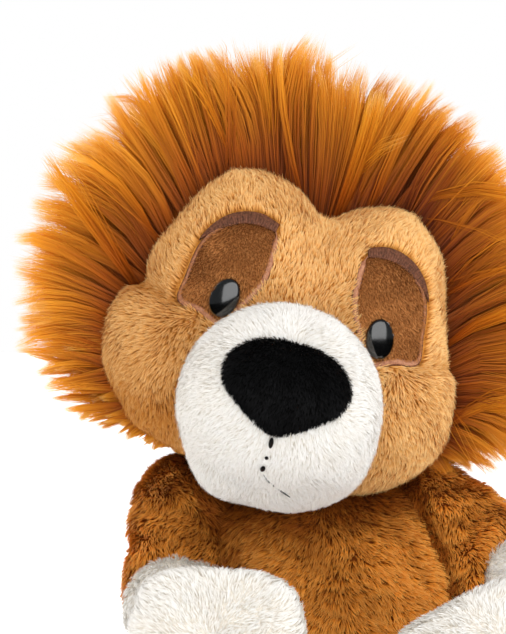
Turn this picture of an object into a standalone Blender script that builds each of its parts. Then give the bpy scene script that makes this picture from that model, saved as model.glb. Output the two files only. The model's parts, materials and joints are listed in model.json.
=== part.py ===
"""A seated plush lion, about 28 cm tall, modelled as its sewn pieces.

The lion looks towards -Y and sits on Z = 0, with the middle of its flat seat at the origin. Right and left in
the names are the lion's own, so its right side is at -X. Cloth pieces are shells, and the filling inside them
is solids of its own. The head has its own frame: u towards the lion's left, w forward and v up, rolled over
towards the lion's left. The mane and the tail tuft are the space that their long fur fills, and the short
pile is left out.
"""

import math
from dataclasses import dataclass

import bmesh
import bpy
import numpy as np

MM = 0.001

# Cloth and fits
CLOTH = 2.5 * MM
GAP = 0.3 * MM
SEAT_GAP = 0.6 * MM
SINK = 1.5 * MM
FLAT_DEPTH = 0.5 * MM
OVERRUN = 60 * MM

# Head
FACE_HALF_WIDTH = 73 * MM
HEAD_FRONT = 50 * MM
HEAD_BACK = 50 * MM
HEAD_ROLL = math.radians(15)
HEAD_SIDE_SHIFT = 7 * MM
HEAD_FORWARD_SHIFT = 8 * MM
FACE_FULLNESS = 2.4
NAPE_FULLNESS = 2.2
# Outline of the face: degrees from straight up, and share of the half width
FACE_OUTLINE_SHARES = (
    (-180, 0.77), (-155, 0.82), (-139, 0.88), (-118, 0.945), (-106, 1.005), (-100, 1.025), (-86, 1.01),
    (-80, 0.965), (-76, 0.89), (-72, 0.905), (-66, 0.945), (-52, 0.985), (-38, 1.06), (-29, 1.08),
    (-15, 0.975), (-4, 0.825), (2, 0.815), (11, 0.92), (22, 1.035), (29, 1.04), (40, 1.005), (50, 0.925),
    (63, 0.865), (76, 0.86), (81, 0.895), (95, 0.92), (103, 0.95), (121, 0.935), (138, 0.89),
    (155, 0.82), (180, 0.77),
)
CHEEK_PUFF = 6 * MM
CHEEK_SPREAD = 19 * MM
CHEEK_OUT = 52 * MM
CHEEK_DROP = 14 * MM
BROW_PUFF = 5 * MM
BROW_SPREAD = 22 * MM
BROW_OUT = 32 * MM
BROW_RISE = 44 * MM

# Muzzle, nose and mouth
MUZZLE_RADIUS = 38.5 * MM
MUZZLE_PROUD = 36 * MM
MUZZLE_DROP = 16 * MM
MUZZLE_EDGE = 2 * MM
MUZZLE_FULLNESS = 2.5
NOSE_HALF_WIDTH = 24.5 * MM
NOSE_PROUD = 5 * MM
NOSE_EDGE = 1.6 * MM
NOSE_DROP = 7 * MM
# Outline of the nose: degrees from straight up, and share of the half width
NOSE_OUTLINE_SHARES = (
    (0, 0.66), (30, 0.74), (55, 0.88), (80, 1.0), (100, 0.97), (122, 0.8), (150, 0.74), (180, 0.79),
)
THREAD_RADIUS = 0.6 * MM
MOUTH_TOP = 29.5 * MM
MOUTH_BOTTOM = 44 * MM

# Eye patches, brows and eyes, on the lion's left half of the face
PATCH_OUT = 33 * MM
PATCH_RISE = 28 * MM
PATCH_HALF_WIDTH = 15.5 * MM
PATCH_HALF_HEIGHT = 20 * MM
PATCH_THICKNESS = 1.6 * MM
# Outline of the patch as shares of its half width and half height
PATCH_OUTLINE_SHARES = (
    (-0.92, 1.04), (-0.3, 1.06), (0.3, 0.94), (0.72, 0.66), (0.93, 0.3), (1.0, -0.2), (1.0, -0.7),
    (0.4, -0.81), (-0.08, -0.97), (-0.3, -0.82), (-0.62, -0.45), (-0.92, 0.0), (-1.0, 0.45),
)
BROW_WIDTH = 4 * MM
BROW_THICKNESS = 1.2 * MM
# Middle line of the brow as shares of the patch's half width and half height, and the brow's width there
BROW_LINE_SHARES = (
    (-0.92, 1.19, 0.9), (-0.48, 1.26, 1.0), (0.09, 1.19, 1.0), (0.45, 1.08, 0.95), (0.79, 0.84, 0.7),
    (1.0, 0.58, 0.25),
)
EYE_OUT = 31.2 * MM
EYE_RISE = 19 * MM
EYE_HALF_WIDTH = 5.8 * MM
EYE_HALF_HEIGHT = 7.6 * MM
EYE_PROUD = 5 * MM
EYE_RIM = 0.6 * MM
EYE_LEAN = math.radians(-12)
SHANK_RADIUS = 2.2 * MM
SHANK_END = 6 * MM
WASHER_RADIUS = 6.5 * MM
WASHER_THICKNESS = 1.5 * MM

# Mane
MANE_REACH = 122 * MM
MANE_FORWARD = 14 * MM
MANE_LEAST = 4 * MM
MANE_BACK = 34 * MM
# How far the fur reaches from the head's middle: degrees from straight up, and share of the reach
MANE_REACH_SHARES = (
    (0, 1.0), (45, 0.98), (90, 0.93), (100, 0.87), (110, 0.79), (120, 0.69), (130, 0.62),
    (140, 0.57), (160, 0.52), (180, 0.5),
)
# How far ahead of the face's seam the front tips are: degrees from straight up, and share of that distance
MANE_FORWARD_SHARES = ((0, 1.0), (90, 0.85), (112, 0.15), (128, -0.4), (150, -0.7), (180, -0.8))

# Torso
TORSO_HEIGHT = 118 * MM
TORSO_HALF_WIDTH = 60 * MM
TORSO_HALF_DEPTH = 48 * MM
TORSO_WIDEST = 34 * MM
TORSO_LEAN = 22 * MM
SEAT_FULLNESS = 3.5
CHEST_FULLNESS = 2.2
POUCH_TOP = 18 * MM
NECK_SINK = 20 * MM
SEAM_SHIFT = 6 * MM
SEAM_LEAN = 12 * MM

# Arms
SHOULDER_DROP = 23 * MM
SHOULDER_RADIUS = 17 * MM
WRIST_RADIUS = 23.5 * MM
HAND_FULLNESS = 2.6
ARM_SEAM_SHARE = 0.56
ARM_THICKNESS_SHARE = 0.88
# Of each arm: how far the shoulder stands off the torso, and how far out, forward and down the hand's tip is
RIGHT_ARM = (9 * MM, 4 * MM, 36 * MM, 47 * MM)
LEFT_ARM = (2 * MM, 33 * MM, 34 * MM, 45 * MM)

# Legs
HIP_OUT = 34 * MM
HIP_FORWARD = 38 * MM
LEG_RADIUS = 22 * MM
ANKLE_RADIUS = 22.5 * MM
LEG_REACH = 68 * MM
LEG_SPLAY = 17 * MM
FOOT_HALF_WIDTH = 34 * MM
FOOT_HALF_HEIGHT = 42 * MM
FOOT_HALF_DEPTH = 16 * MM
FOOT_FULLNESS = 2.7
RIGHT_FOOT_ROLL = math.radians(3)
LEFT_FOOT_ROLL = math.radians(58)

# Tail
TAIL_RADIUS = 6 * MM
TAIL_BACK = 62 * MM
TAIL_SIDE = 46 * MM
TAIL_RISE = 17 * MM
TUFT_RADIUS = 13 * MM
TUFT_LENGTH = 44 * MM

# How far the head tilts and the legs swing, which the torso is cut clear for
HEAD_TILTS = [math.radians(angle) for angle in (-5, 0, 5)]
LEG_SWINGS = [math.radians(angle) for angle in (-5, 0, 10, 20)]
RIGHT_ARM_LIFTS = [math.radians(angle) for angle in (0, 15, 30, 45)]
LEFT_ARM_LIFTS = [math.radians(angle) for angle in (0, -10, -20, -30)]
ARM_ROOM = 9 * MM

# Segments
HEAD_SEGMENTS = 24
TORSO_SEGMENTS = 24
LIMB_SEGMENTS = 12
FOOT_SEGMENTS = 16


def hermite(table, places):
    """Smooth curve through the table's (place, value) rows, level at both ends."""
    xs, ys = (np.array(column, float) for column in zip(*table))
    slopes = np.zeros(len(xs))
    slopes[1:-1] = (ys[2:] - ys[:-2]) / (xs[2:] - xs[:-2])
    places = np.clip(places, xs[0], xs[-1])
    i = np.clip(np.searchsorted(xs, places, side="right") - 1, 0, len(xs) - 2)
    width = xs[i + 1] - xs[i]
    t = (places - xs[i]) / width
    return (
        (1 + 2 * t) * (1 - t) ** 2 * ys[i]
        + t * (1 - t) ** 2 * width * slopes[i]
        + t**2 * (3 - 2 * t) * ys[i + 1]
        + t**2 * (t - 1) * width * slopes[i + 1]
    )


def material(name, hex_colour, roughness):
    """Principled material, with the sRGB hex colour turned into linear values."""
    made = bpy.data.materials.new(name)
    made.use_nodes = True
    shader = made.node_tree.nodes["Principled BSDF"]
    values = [int(hex_colour[i : i + 2], 16) / 255 for i in (0, 2, 4)]
    linear = [v / 12.92 if v <= 0.04045 else ((v + 0.055) / 1.055) ** 2.4 for v in values]
    shader.inputs["Base Color"].default_value = (*linear, 1)
    shader.inputs["Roughness"].default_value = roughness
    made.diffuse_color = (*linear, 1)
    return made


def finish(bm, name, pivot, look):
    """Object with this mesh, given in world coordinates, its origin on the empty that it moves with."""
    bmesh.ops.recalc_face_normals(bm, faces=bm.faces)
    bmesh.ops.translate(bm, verts=bm.verts, vec=-pivot.location)
    mesh = bpy.data.meshes.new(name)
    bm.to_mesh(mesh)
    bm.free()
    mesh.shade_smooth()
    obj = bpy.data.objects.new(name, mesh)
    bpy.context.scene.collection.objects.link(obj)
    obj.parent = pivot
    obj.data.materials.append(look)
    return obj


def ring_mesh(rings, closed=False):
    """Closed mesh through rings of points: the ends are capped, or joined to each other when closed."""
    bm = bmesh.new()
    rows = [[bm.verts.new(point) for point in ring] for ring in rings]
    pairs = list(zip(rows, rows[1:])) + ([(rows[-1], rows[0])] if closed else [])
    for first, second in pairs:
        for i in range(len(first)):
            bm.faces.new((first[i - 1], first[i], second[i], second[i - 1]))
    if not closed:
        for row in (rows[0], rows[-1]):
            middle = bm.verts.new(np.mean([vertex.co for vertex in row], axis=0))
            for i in range(len(row)):
                bm.faces.new((row[i - 1], row[i], middle))
    return bm


def hull_mesh(rings):
    """Closed convex mesh round all the rings' points."""
    bm = bmesh.new()
    for point in np.concatenate(rings):
        bm.verts.new(point)
    made = bmesh.ops.convex_hull(bm, input=bm.verts)
    spare = {item for item in made["geom_interior"] + made["geom_unused"]}
    bmesh.ops.delete(bm, geom=list(spare.intersection(bm.verts)), context="VERTS")
    return bm


def slab_mesh(outer, inner):
    """Closed mesh between two grids of points of one size, joined round their edges."""
    bm = bmesh.new()
    rows, columns = outer.shape[:2]
    grids = [[[bm.verts.new(point) for point in row] for row in grid] for grid in (outer, inner)]
    for grid in grids:
        for i in range(rows - 1):
            for j in range(columns - 1):
                bm.faces.new((grid[i][j], grid[i][j + 1], grid[i + 1][j + 1], grid[i + 1][j]))
    border = (
        [(0, j) for j in range(columns)]
        + [(i, columns - 1) for i in range(1, rows)]
        + [(rows - 1, j) for j in range(columns - 2, -1, -1)]
        + [(i, 0) for i in range(rows - 2, 0, -1)]
    )
    a, b = grids
    for (i, j), (k, m) in zip(border, border[1:] + border[:1]):
        bm.faces.new((a[i][j], a[k][m], b[k][m], b[i][j]))
    bmesh.ops.remove_doubles(bm, verts=bm.verts, dist=GAP / 1000)
    bmesh.ops.dissolve_degenerate(bm, edges=bm.edges, dist=GAP / 1000)
    return bm


def cutter(bm, name, pivot):
    """Helper object with this mesh, for a Boolean."""
    obj = finish(bm, name, pivot, LOOKS["filling"])
    obj.hide_render = True
    obj.display_type = "WIRE"
    return obj


def combine(obj, tools, operation="DIFFERENCE"):
    """Boolean of the object with each of the tools."""
    for tool in tools:
        made = obj.modifiers.new(tool.name, "BOOLEAN")
        made.operation = operation
        made.solver = "EXACT"
        made.object = tool
    return obj


def cut_by_all(obj, tools, name):
    """One Boolean that takes all the tools, which may overlap each other, from the object."""
    group = bpy.data.collections.new(name)
    bpy.context.scene.collection.children.link(group)
    for tool in tools:
        group.objects.link(tool)
    made = obj.modifiers.new(name, "BOOLEAN")
    made.operation = "DIFFERENCE"
    made.solver = "EXACT"
    made.operand_type = "COLLECTION"
    made.collection = group
    return obj


def keep_side(bm, point, normal):
    """Cuts the mesh at a plane, keeps the side that the normal points away from, and closes it flat."""
    geometry = bm.verts[:] + bm.edges[:] + bm.faces[:]
    cut = bmesh.ops.bisect_plane(bm, geom=geometry, plane_co=point, plane_no=normal, clear_outer=True)
    edges = [item for item in cut["geom_cut"] if isinstance(item, bmesh.types.BMEdge)]
    bmesh.ops.triangle_fill(bm, use_beauty=True, edges=edges)
    return bm


def cut_flat(bm):
    """Cuts the mesh off flat at Z = 0, where the toy stands."""
    return keep_side(bm, (0, 0, 0), (0, 0, -1))


def turned(points, angle, axis_point, axis):
    """Points turned about the line through axis_point along Y or Z."""
    cosine, sine = math.cos(angle), math.sin(angle)
    matrix = {
        "Y": np.array([[cosine, 0, sine], [0, 1, 0], [-sine, 0, cosine]]),
        "Z": np.array([[cosine, -sine, 0], [sine, cosine, 0], [0, 0, 1]]),
    }[axis]
    return (np.asarray(points) - axis_point) @ matrix.T + axis_point


# The torso: a superellipse standing on its flat seat and leaning over as it rises


def torso_ring(t, inset, segments=TORSO_SEGMENTS):
    """Ring of the torso at the turn t from its top, at 0, to its base, at pi."""
    upper = t <= math.pi / 2
    fullness = CHEST_FULLNESS if upper else SEAT_FULLNESS
    reach = TORSO_HEIGHT - TORSO_WIDEST if upper else TORSO_WIDEST + FLAT_DEPTH
    height = TORSO_WIDEST + math.copysign((reach - inset) * abs(math.cos(t)) ** (2 / fullness), math.cos(t))
    width_share = math.sin(t) ** (2 / fullness)
    turns = np.arange(segments) * 2 * math.pi / segments
    return np.stack(
        [
            torso_middle(height) + (TORSO_HALF_WIDTH - inset) * width_share * np.sin(turns),
            (TORSO_HALF_DEPTH - inset) * width_share * np.cos(turns),
            np.full(segments, height),
        ],
        axis=1,
    )


def torso_middle(height):
    """X of the torso's middle line at this height."""
    return -TORSO_LEAN * (max(height, 0) / TORSO_HEIGHT) ** 3


def torso_half_width(height):
    """Half width of the torso at this height above its widest place."""
    share = (height - TORSO_WIDEST) / (TORSO_HEIGHT - TORSO_WIDEST)
    return TORSO_HALF_WIDTH * (1 - share**CHEST_FULLNESS) ** (1 / CHEST_FULLNESS)


TORSO_TURNS = np.linspace(0, math.pi, 15)[1:-1]


def torso_mesh(inset):
    return ring_mesh([torso_ring(t, inset) for t in TORSO_TURNS])


def torso_core_mesh():
    """What fills the torso: half as many rings and segments, which lie inside the cloth's facets."""
    rings = [torso_ring(t, CLOTH + GAP, TORSO_SEGMENTS // 2) for t in TORSO_TURNS[::2]]
    return ring_mesh(rings)


# The head: a superellipse in depth over the face's outline, with puffed cheeks and brows

NECK = np.array(
    [torso_middle(TORSO_HEIGHT) + TORSO_LEAN / 5, -TORSO_HALF_DEPTH / 12, TORSO_HEIGHT - NECK_SINK]
)
HEAD_MIDDLE = NECK + np.array(
    [-HEAD_SIDE_SHIFT, -HEAD_FORWARD_SHIFT, FACE_OUTLINE_SHARES[-1][1] * FACE_HALF_WIDTH]
)


def to_world(u, w, v):
    """World points of the head's own coordinates, which may be arrays."""
    u, w, v = np.broadcast_arrays(u, w, v)
    x = u * math.cos(HEAD_ROLL) + v * math.sin(HEAD_ROLL)
    z = v * math.cos(HEAD_ROLL) - u * math.sin(HEAD_ROLL)
    return np.stack([x, -w, z], axis=-1) + HEAD_MIDDLE


def outline_radius(table, size, angle):
    """Radius of an outline at this angle from straight up. A table from 0 is the same left and right."""
    degrees = np.degrees((np.asarray(angle) + math.pi) % (2 * math.pi) - math.pi)
    return size * hermite(table, np.abs(degrees) if table[0][0] == 0 else degrees)


def puff(u, v):
    """How far the cheeks and the brows stand forward of the plain head."""
    cheek = ((np.abs(u) - CHEEK_OUT) ** 2 + (v + CHEEK_DROP) ** 2) / (2 * CHEEK_SPREAD**2)
    brow = ((np.abs(u) - BROW_OUT) ** 2 + (v - BROW_RISE) ** 2) / (2 * BROW_SPREAD**2)
    return CHEEK_PUFF * np.exp(-cheek) + BROW_PUFF * np.exp(-brow)


def face_front(u, v, inset=0.0):
    """How far forward the face's cloth lies at (u, v), or the surface this far inside it."""
    radius = outline_radius(FACE_OUTLINE_SHARES, FACE_HALF_WIDTH, np.arctan2(u, v)) - inset
    inside = np.clip(1 - (np.hypot(u, v) / radius) ** FACE_FULLNESS, 0, 1)
    return (HEAD_FRONT - inset) * inside ** (1 / FACE_FULLNESS) + puff(u, v) * np.sqrt(inside)


def face_ring(t, inset, segments=HEAD_SEGMENTS):
    """Ring of the face at the turn t from its front, at 0, to the mane's seam, at pi / 2."""
    angles = np.arange(segments) * 2 * math.pi / segments
    share = math.sin(t) ** (2 / FACE_FULLNESS)
    radius = (outline_radius(FACE_OUTLINE_SHARES, FACE_HALF_WIDTH, angles) - inset) * share
    u, v = radius * np.sin(angles), radius * np.cos(angles)
    depth = (HEAD_FRONT - inset) * max(math.cos(t), 0) ** (2 / FACE_FULLNESS)
    return to_world(u, depth + puff(u, v) * max(math.cos(t), 0), v)


def back_points(t, inset, angles):
    """Points of the head's back at the turn t from the mane's seam, at pi / 2, to the back, at pi."""
    share = max(math.sin(t), 0) ** (2 / NAPE_FULLNESS)
    radius = (outline_radius(FACE_OUTLINE_SHARES, FACE_HALF_WIDTH, angles) - inset) * share
    depth = (HEAD_BACK - inset) * abs(math.cos(t)) ** (2 / NAPE_FULLNESS)
    return radius * np.sin(angles), -depth, radius * np.cos(angles)


def mane_points(t, grow, angles):
    """Points of the mane's tips at the turn t from the front edge, at pi / 2, to the back, at pi.

    The fur stands out from the face's seam by its least depth or more.
    """
    share = max(math.sin(t), 0) ** (2 / NAPE_FULLNESS)
    reach = outline_radius(MANE_REACH_SHARES, MANE_REACH, angles)
    seam = outline_radius(FACE_OUTLINE_SHARES, FACE_HALF_WIDTH, angles)
    radius = (np.maximum(reach, seam + MANE_LEAST) + grow) * share
    front = outline_radius(MANE_FORWARD_SHARES, MANE_FORWARD, angles)
    depth = (HEAD_BACK + MANE_BACK + front + grow) * abs(math.cos(t)) ** (2 / NAPE_FULLNESS)
    return radius * np.sin(angles), front - depth, radius * np.cos(angles)


FRONT_TURNS = np.linspace(0, math.pi / 2, 8)[1:]
BACK_TURNS = np.linspace(math.pi / 2, math.pi, 7)[1:-1]


def face_skin_mesh():
    """Shell of the face, open at the back."""
    outer = [face_ring(t, 0) for t in FRONT_TURNS]
    inner = [face_ring(t, CLOTH) for t in FRONT_TURNS[::-1]]
    return ring_mesh(outer + inner)


def head_filling_mesh():
    angles = np.arange(HEAD_SEGMENTS) * 2 * math.pi / HEAD_SEGMENTS
    inset = CLOTH + 2 * GAP
    back = [to_world(*back_points(t, inset, angles)) for t in BACK_TURNS]
    return ring_mesh([face_ring(t, inset) for t in FRONT_TURNS[::2]] + back)


def mane_half_mesh(side):
    """One side of the mane: the space of its fur, from the cloth that lines it and the face's seam to the tips."""
    angles = side * np.linspace(0, math.pi, HEAD_SEGMENTS // 2 + 1)
    u, w, v = back_points(math.pi / 2, -GAP, angles)
    outer = [(u, w - GAP, v)] + [mane_points(t, 0, angles) for t in np.linspace(math.pi / 2, math.pi, 7)]
    inner = []
    for t in np.linspace(math.pi / 2, math.pi, len(outer)):
        u, w, v = back_points(t, CLOTH, angles)
        inner.append((u, np.minimum(w, -GAP), v))
    grids = [
        np.array([to_world(side * np.maximum(side * u, GAP / 2), w, v) for u, w, v in rows])
        for rows in (outer, inner)
    ]
    return slab_mesh(*grids)


def head_envelope(grow):
    """Outer surface of the whole head with its mane, grown, for cutting what the head moves against."""
    angles = np.arange(HEAD_SEGMENTS) * 2 * math.pi / HEAD_SEGMENTS
    front = [face_ring(t, -grow) for t in FRONT_TURNS]
    back = [to_world(*mane_points(t, grow, angles)) for t in (math.pi / 2, *BACK_TURNS, math.pi)]
    return front + back


def muzzle_ring(share, proud, grow=0):
    """Ring of the muzzle at this share of its radius, lying proud of the face's cloth."""
    angles = np.arange(HEAD_SEGMENTS) * 2 * math.pi / HEAD_SEGMENTS
    radius = (MUZZLE_RADIUS + grow) * share
    u, v = radius * np.sin(angles), radius * np.cos(angles) - MUZZLE_DROP
    return to_world(u, face_front(u, v) + SEAT_GAP + proud, v)


def muzzle_rise(share):
    return MUZZLE_EDGE + MUZZLE_PROUD * (1 - share**MUZZLE_FULLNESS) ** (1 / CHEST_FULLNESS)


MUZZLE_SHARES = (0.22, 0.44, 0.64, 0.8, 0.91, 0.98, 1)


def muzzle_mesh():
    """The muzzle, sunk into the face for its cut."""
    front = [muzzle_ring(share, muzzle_rise(share)) for share in MUZZLE_SHARES]
    return ring_mesh(front + [muzzle_ring(share, -2 * SINK) for share in (1, 0.5)])


def muzzle_clearance_mesh():
    rings = [muzzle_ring(share, muzzle_rise(share) + GAP, GAP) for share in MUZZLE_SHARES]
    return ring_mesh(rings + [muzzle_ring(share, -2 * SINK) for share in (1, 0.5)])


def muzzle_front(u, v):
    """How far forward the muzzle lies at (u, v)."""
    share = np.clip(np.hypot(u, v + MUZZLE_DROP) / MUZZLE_RADIUS, 0, 1)
    return face_front(u, v) + SEAT_GAP + muzzle_rise(share)


def nose_mesh():
    """Padded nose, sunk into the muzzle for its cut."""
    angles = np.arange(HEAD_SEGMENTS) * 2 * math.pi / HEAD_SEGMENTS
    radius = outline_radius(NOSE_OUTLINE_SHARES, NOSE_HALF_WIDTH, angles)

    def ring(share, proud):
        u, v = radius * share * np.sin(angles), radius * share * np.cos(angles) - NOSE_DROP
        return to_world(u, muzzle_front(u, v) + proud, v)

    front = [ring(share, NOSE_EDGE + NOSE_PROUD * math.sqrt(1 - share**2)) for share in (0.3, 0.6, 0.85, 1)]
    return ring_mesh(front + [ring(share, -SINK) for share in (1, 0.5)])


def mouth_mesh():
    """Thread of the mouth, lying on the muzzle below the nose."""
    drops = np.linspace(MOUTH_TOP, MOUTH_BOTTOM, 6)
    turns = np.arange(6) * 2 * math.pi / 6
    rings = []
    for drop in drops:
        u = THREAD_RADIUS * np.cos(turns)
        level = muzzle_front(0, -drop) + GAP + THREAD_RADIUS
        rings.append(to_world(u, level + THREAD_RADIUS * np.sin(turns), np.full(6, -drop)))
    return ring_mesh(rings)


def on_face(u, v, side, proud, inset=0.0):
    """World points lying proud of the face's cloth or of the surface inside it, mirrored to the side."""
    return to_world(side * u, face_front(side * u, v, inset) + proud, v)


def patch_mesh(side):
    """Eye patch, sunk into the face for its cut."""
    shares = np.array(PATCH_OUTLINE_SHARES)

    def ring(share, proud):
        u = PATCH_OUT + PATCH_HALF_WIDTH * shares[:, 0] * share
        v = PATCH_RISE + PATCH_HALF_HEIGHT * shares[:, 1] * share
        return on_face(u, v, side, proud)

    top = GAP + PATCH_THICKNESS
    back = [ring(share, -SINK) for share in (0.35, 0.7, 1)]
    return ring_mesh(back + [ring(share, top) for share in (1, 0.7, 0.35)])


def brow_mesh(side):
    """Brow, a satin-stitched band that narrows to its outer tip, sunk into the face for its cut."""
    line = np.array(BROW_LINE_SHARES)
    u = PATCH_OUT + PATCH_HALF_WIDTH * line[:, 0]
    v = PATCH_RISE + PATCH_HALF_HEIGHT * line[:, 1]
    du, dv = np.gradient(u), np.gradient(v)
    length = np.hypot(du, dv)
    rings = []
    for i in range(len(line)):
        half = BROW_WIDTH * line[i, 2] / 2
        across = np.array([-dv[i], du[i]]) / length[i] * half
        top = GAP + BROW_THICKNESS
        corners = [(-1, -SINK), (1, -SINK), (1, top), (-1, top)]
        rings.append(
            [on_face(u[i] + k * across[0], v[i] + k * across[1], side, proud) for k, proud in corners]
        )
    return ring_mesh(rings)


EYE_SEAT = SEAT_GAP + PATCH_THICKNESS
WASHER_FRONT = SEAT_GAP + GAP
SHANK_BACK = CLOTH + SHANK_END


def eye_ring(side, share, proud):
    """Oval ring about the eye's middle at this share of its size, lying proud of the face's cloth."""
    turns = np.arange(LIMB_SEGMENTS) * 2 * math.pi / LIMB_SEGMENTS
    across, along = EYE_HALF_WIDTH * share * np.sin(turns), EYE_HALF_HEIGHT * share * np.cos(turns)
    u = EYE_OUT + across * math.cos(EYE_LEAN) + along * math.sin(EYE_LEAN)
    v = EYE_RISE - across * math.sin(EYE_LEAN) + along * math.cos(EYE_LEAN)
    return on_face(u, v, side, proud)


def shank_ring(side, radius, depth, inset=0.0):
    """Round ring about the eye's shank, at this depth behind the face's cloth or the surface inside it."""
    turns = np.arange(LIMB_SEGMENTS) * 2 * math.pi / LIMB_SEGMENTS
    u, v = EYE_OUT + radius * np.sin(turns), EYE_RISE + radius * np.cos(turns)
    return on_face(u, v, side, -depth, inset)


def eye_mesh(side):
    """Oval plastic dome with a rim, and the shank behind it."""
    rings = []
    for turn in np.linspace(math.pi / 10, math.pi / 2, 5):
        rings.append(eye_ring(side, math.sin(turn), EYE_SEAT + EYE_RIM + EYE_PROUD * math.cos(turn)))
    rings += [eye_ring(side, 1, EYE_SEAT), shank_ring(side, SHANK_RADIUS, -EYE_SEAT)]
    return ring_mesh(rings + [shank_ring(side, SHANK_RADIUS, SHANK_BACK)])


def washer_mesh(side):
    """Locking washer on the shank, behind the inside of the face's cloth."""
    bore, back = SHANK_RADIUS + GAP, WASHER_FRONT + WASHER_THICKNESS
    corners = ((WASHER_RADIUS, WASHER_FRONT), (WASHER_RADIUS, back), (bore, back), (bore, WASHER_FRONT))
    rings = [shank_ring(side, radius, depth, CLOTH) for radius, depth in corners]
    return ring_mesh(rings, closed=True)


def eye_bore(side, radius, depth):
    """Cutter round the eye's shank, from in front of the patch to this depth."""
    return ring_mesh([shank_ring(side, radius, -2 * EYE_SEAT), shank_ring(side, radius, depth)])


# Limbs: tubes along a curved line, with a ball at the joint, a swell and a full round tip


@dataclass
class Limb:
    start: np.ndarray
    middle: np.ndarray
    end: np.ndarray
    root_radius: float
    radius: float
    swell_share: float
    thickness_share: float
    reference: tuple
    rounded: bool

    def point(self, share):
        near, far = 1 - share, share
        return near**2 * self.start + 2 * near * far * self.middle + far**2 * self.end

    def length(self):
        points = np.array([self.point(share) for share in np.linspace(0, 1, 12)])
        return np.linalg.norm(np.diff(points, axis=0), axis=1).sum()

    def frame(self, share):
        """Unit vectors along the limb, across it and square to both."""
        along = (1 - share) * (self.middle - self.start) + share * (self.end - self.middle)
        along = along / np.linalg.norm(along)
        across = np.cross(along, self.reference)
        across = across / np.linalg.norm(across)
        return along, across, np.cross(across, along)

    def ring(self, share, inset=0.0, segments=LIMB_SEGMENTS):
        """Ring at this share of the length: -1 to 0 is the ball at the joint, and 1 is the tip."""
        turns = np.arange(segments) * 2 * math.pi / segments
        if share < 0:
            along, across, up = self.frame(0)
            turn, ball = (1 + share) * math.pi / 2, self.root_radius - inset
            middle, radius = self.start - along * ball * math.cos(turn), ball * math.sin(turn)
            thickness = 1
        else:
            place = share * (1 - inset / self.length()) if self.rounded else share
            _, across, up = self.frame(place)
            swell = math.sin(min(share / self.swell_share, 1) * math.pi / 2)
            radius = self.root_radius + (self.radius - self.root_radius) * swell - inset
            thickness = 1 + (self.thickness_share - 1) * swell
            if self.rounded:
                radius *= self.tip_share((1 - share) * (self.length() - inset), self.radius - inset)
            middle = self.point(place)
        return (
            middle
            + radius * np.sin(turns)[:, None] * across
            + radius * thickness * np.cos(turns)[:, None] * up
        )

    def tip_share(self, distance, radius):
        """Share of the full radius at this distance from the rounded tip."""
        return (1 - max(1 - distance / radius, 0) ** HAND_FULLNESS) ** (1 / HAND_FULLNESS)


ROOT_SHARES = (-0.75, -0.5, -0.25, 0)
SLEEVE_SHARES = (*ROOT_SHARES, 0.2, 0.4, ARM_SEAM_SHARE)
HAND_SHARES = (0.74, 0.86, 0.94, 0.985)
LEG_SHARES = (*ROOT_SHARES, 0.25, 0.5, 0.75, 1)


def torso_side(side, height):
    """Place on the torso's side at this height."""
    return np.array([torso_middle(height) + side * torso_half_width(height), 0, height])


def make_arm(side, sizes):
    off_torso, out, forward, down = sizes
    start = torso_side(side, TORSO_HEIGHT - SHOULDER_DROP) + np.array([side * off_torso, 0, 0])
    end = start + np.array([side * out, -forward, -down])
    middle = start + np.array([side * out / 2, -forward / 3, -down * 2 / 3])
    shares = (ARM_SEAM_SHARE, ARM_THICKNESS_SHARE)
    return Limb(start, middle, end, SHOULDER_RADIUS, WRIST_RADIUS, *shares, (0, 1, 0), True)


def foot_middle(side, roll):
    """Middle of the foot, just low enough for its flat."""
    power = FOOT_FULLNESS / (FOOT_FULLNESS - 1)
    across, upright = FOOT_HALF_WIDTH * abs(math.sin(roll)), FOOT_HALF_HEIGHT * abs(math.cos(roll))
    height = (across**power + upright**power) ** (1 / power) - FLAT_DEPTH
    return np.array([side * (HIP_OUT + LEG_SPLAY), -HIP_FORWARD - LEG_REACH, height])


def make_leg(side, roll):
    start = np.array([side * HIP_OUT, -HIP_FORWARD, LEG_RADIUS - FLAT_DEPTH])
    end = foot_middle(side, roll)
    middle = np.array([(start[0] + end[0]) / 2, (start[1] + end[1]) / 2, start[2]])
    end[2] = (end[2] + start[2]) / 2
    return Limb(start, middle, end, LEG_RADIUS, ANKLE_RADIUS, 1, 1, (0, 0, 1), False)


def foot_ring(side, roll, t, inset):
    """Ring of the foot, an upright superellipse pad, at the turn t from its sole to its back."""
    turns = np.arange(FOOT_SEGMENTS) * 2 * math.pi / FOOT_SEGMENTS
    cosine, sine = np.cos(turns), np.sin(turns)
    u = np.sign(sine) * np.abs(sine) ** (2 / FOOT_FULLNESS) * (FOOT_HALF_WIDTH - inset)
    v = np.sign(cosine) * np.abs(cosine) ** (2 / FOOT_FULLNESS) * (FOOT_HALF_HEIGHT - inset)
    share = math.sin(t) ** (2 / FOOT_FULLNESS)
    depth = math.copysign((FOOT_HALF_DEPTH - inset) * abs(math.cos(t)) ** (2 / FOOT_FULLNESS), math.cos(t))
    splay = math.atan2(LEG_SPLAY, LEG_REACH)
    across = side * (u * math.cos(roll) + v * math.sin(roll)) * share
    rise = (v * math.cos(roll) - u * math.sin(roll)) * share
    x = across * math.cos(splay) + side * depth * math.sin(splay)
    y = side * across * math.sin(splay) - depth * math.cos(splay)
    return foot_middle(side, roll) + np.stack([x, y, rise], axis=1)


def foot_mesh(side, roll, inset):
    turns = np.linspace(0, math.pi, 9)[1:-1]
    return ring_mesh([foot_ring(side, roll, t, inset) for t in turns])


def empty(name, place):
    """Empty on a joint, which its pieces hang from."""
    made = bpy.data.objects.new(name, None)
    made.location = place
    bpy.context.scene.collection.objects.link(made)
    bpy.context.view_layer.update()
    return made


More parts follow.
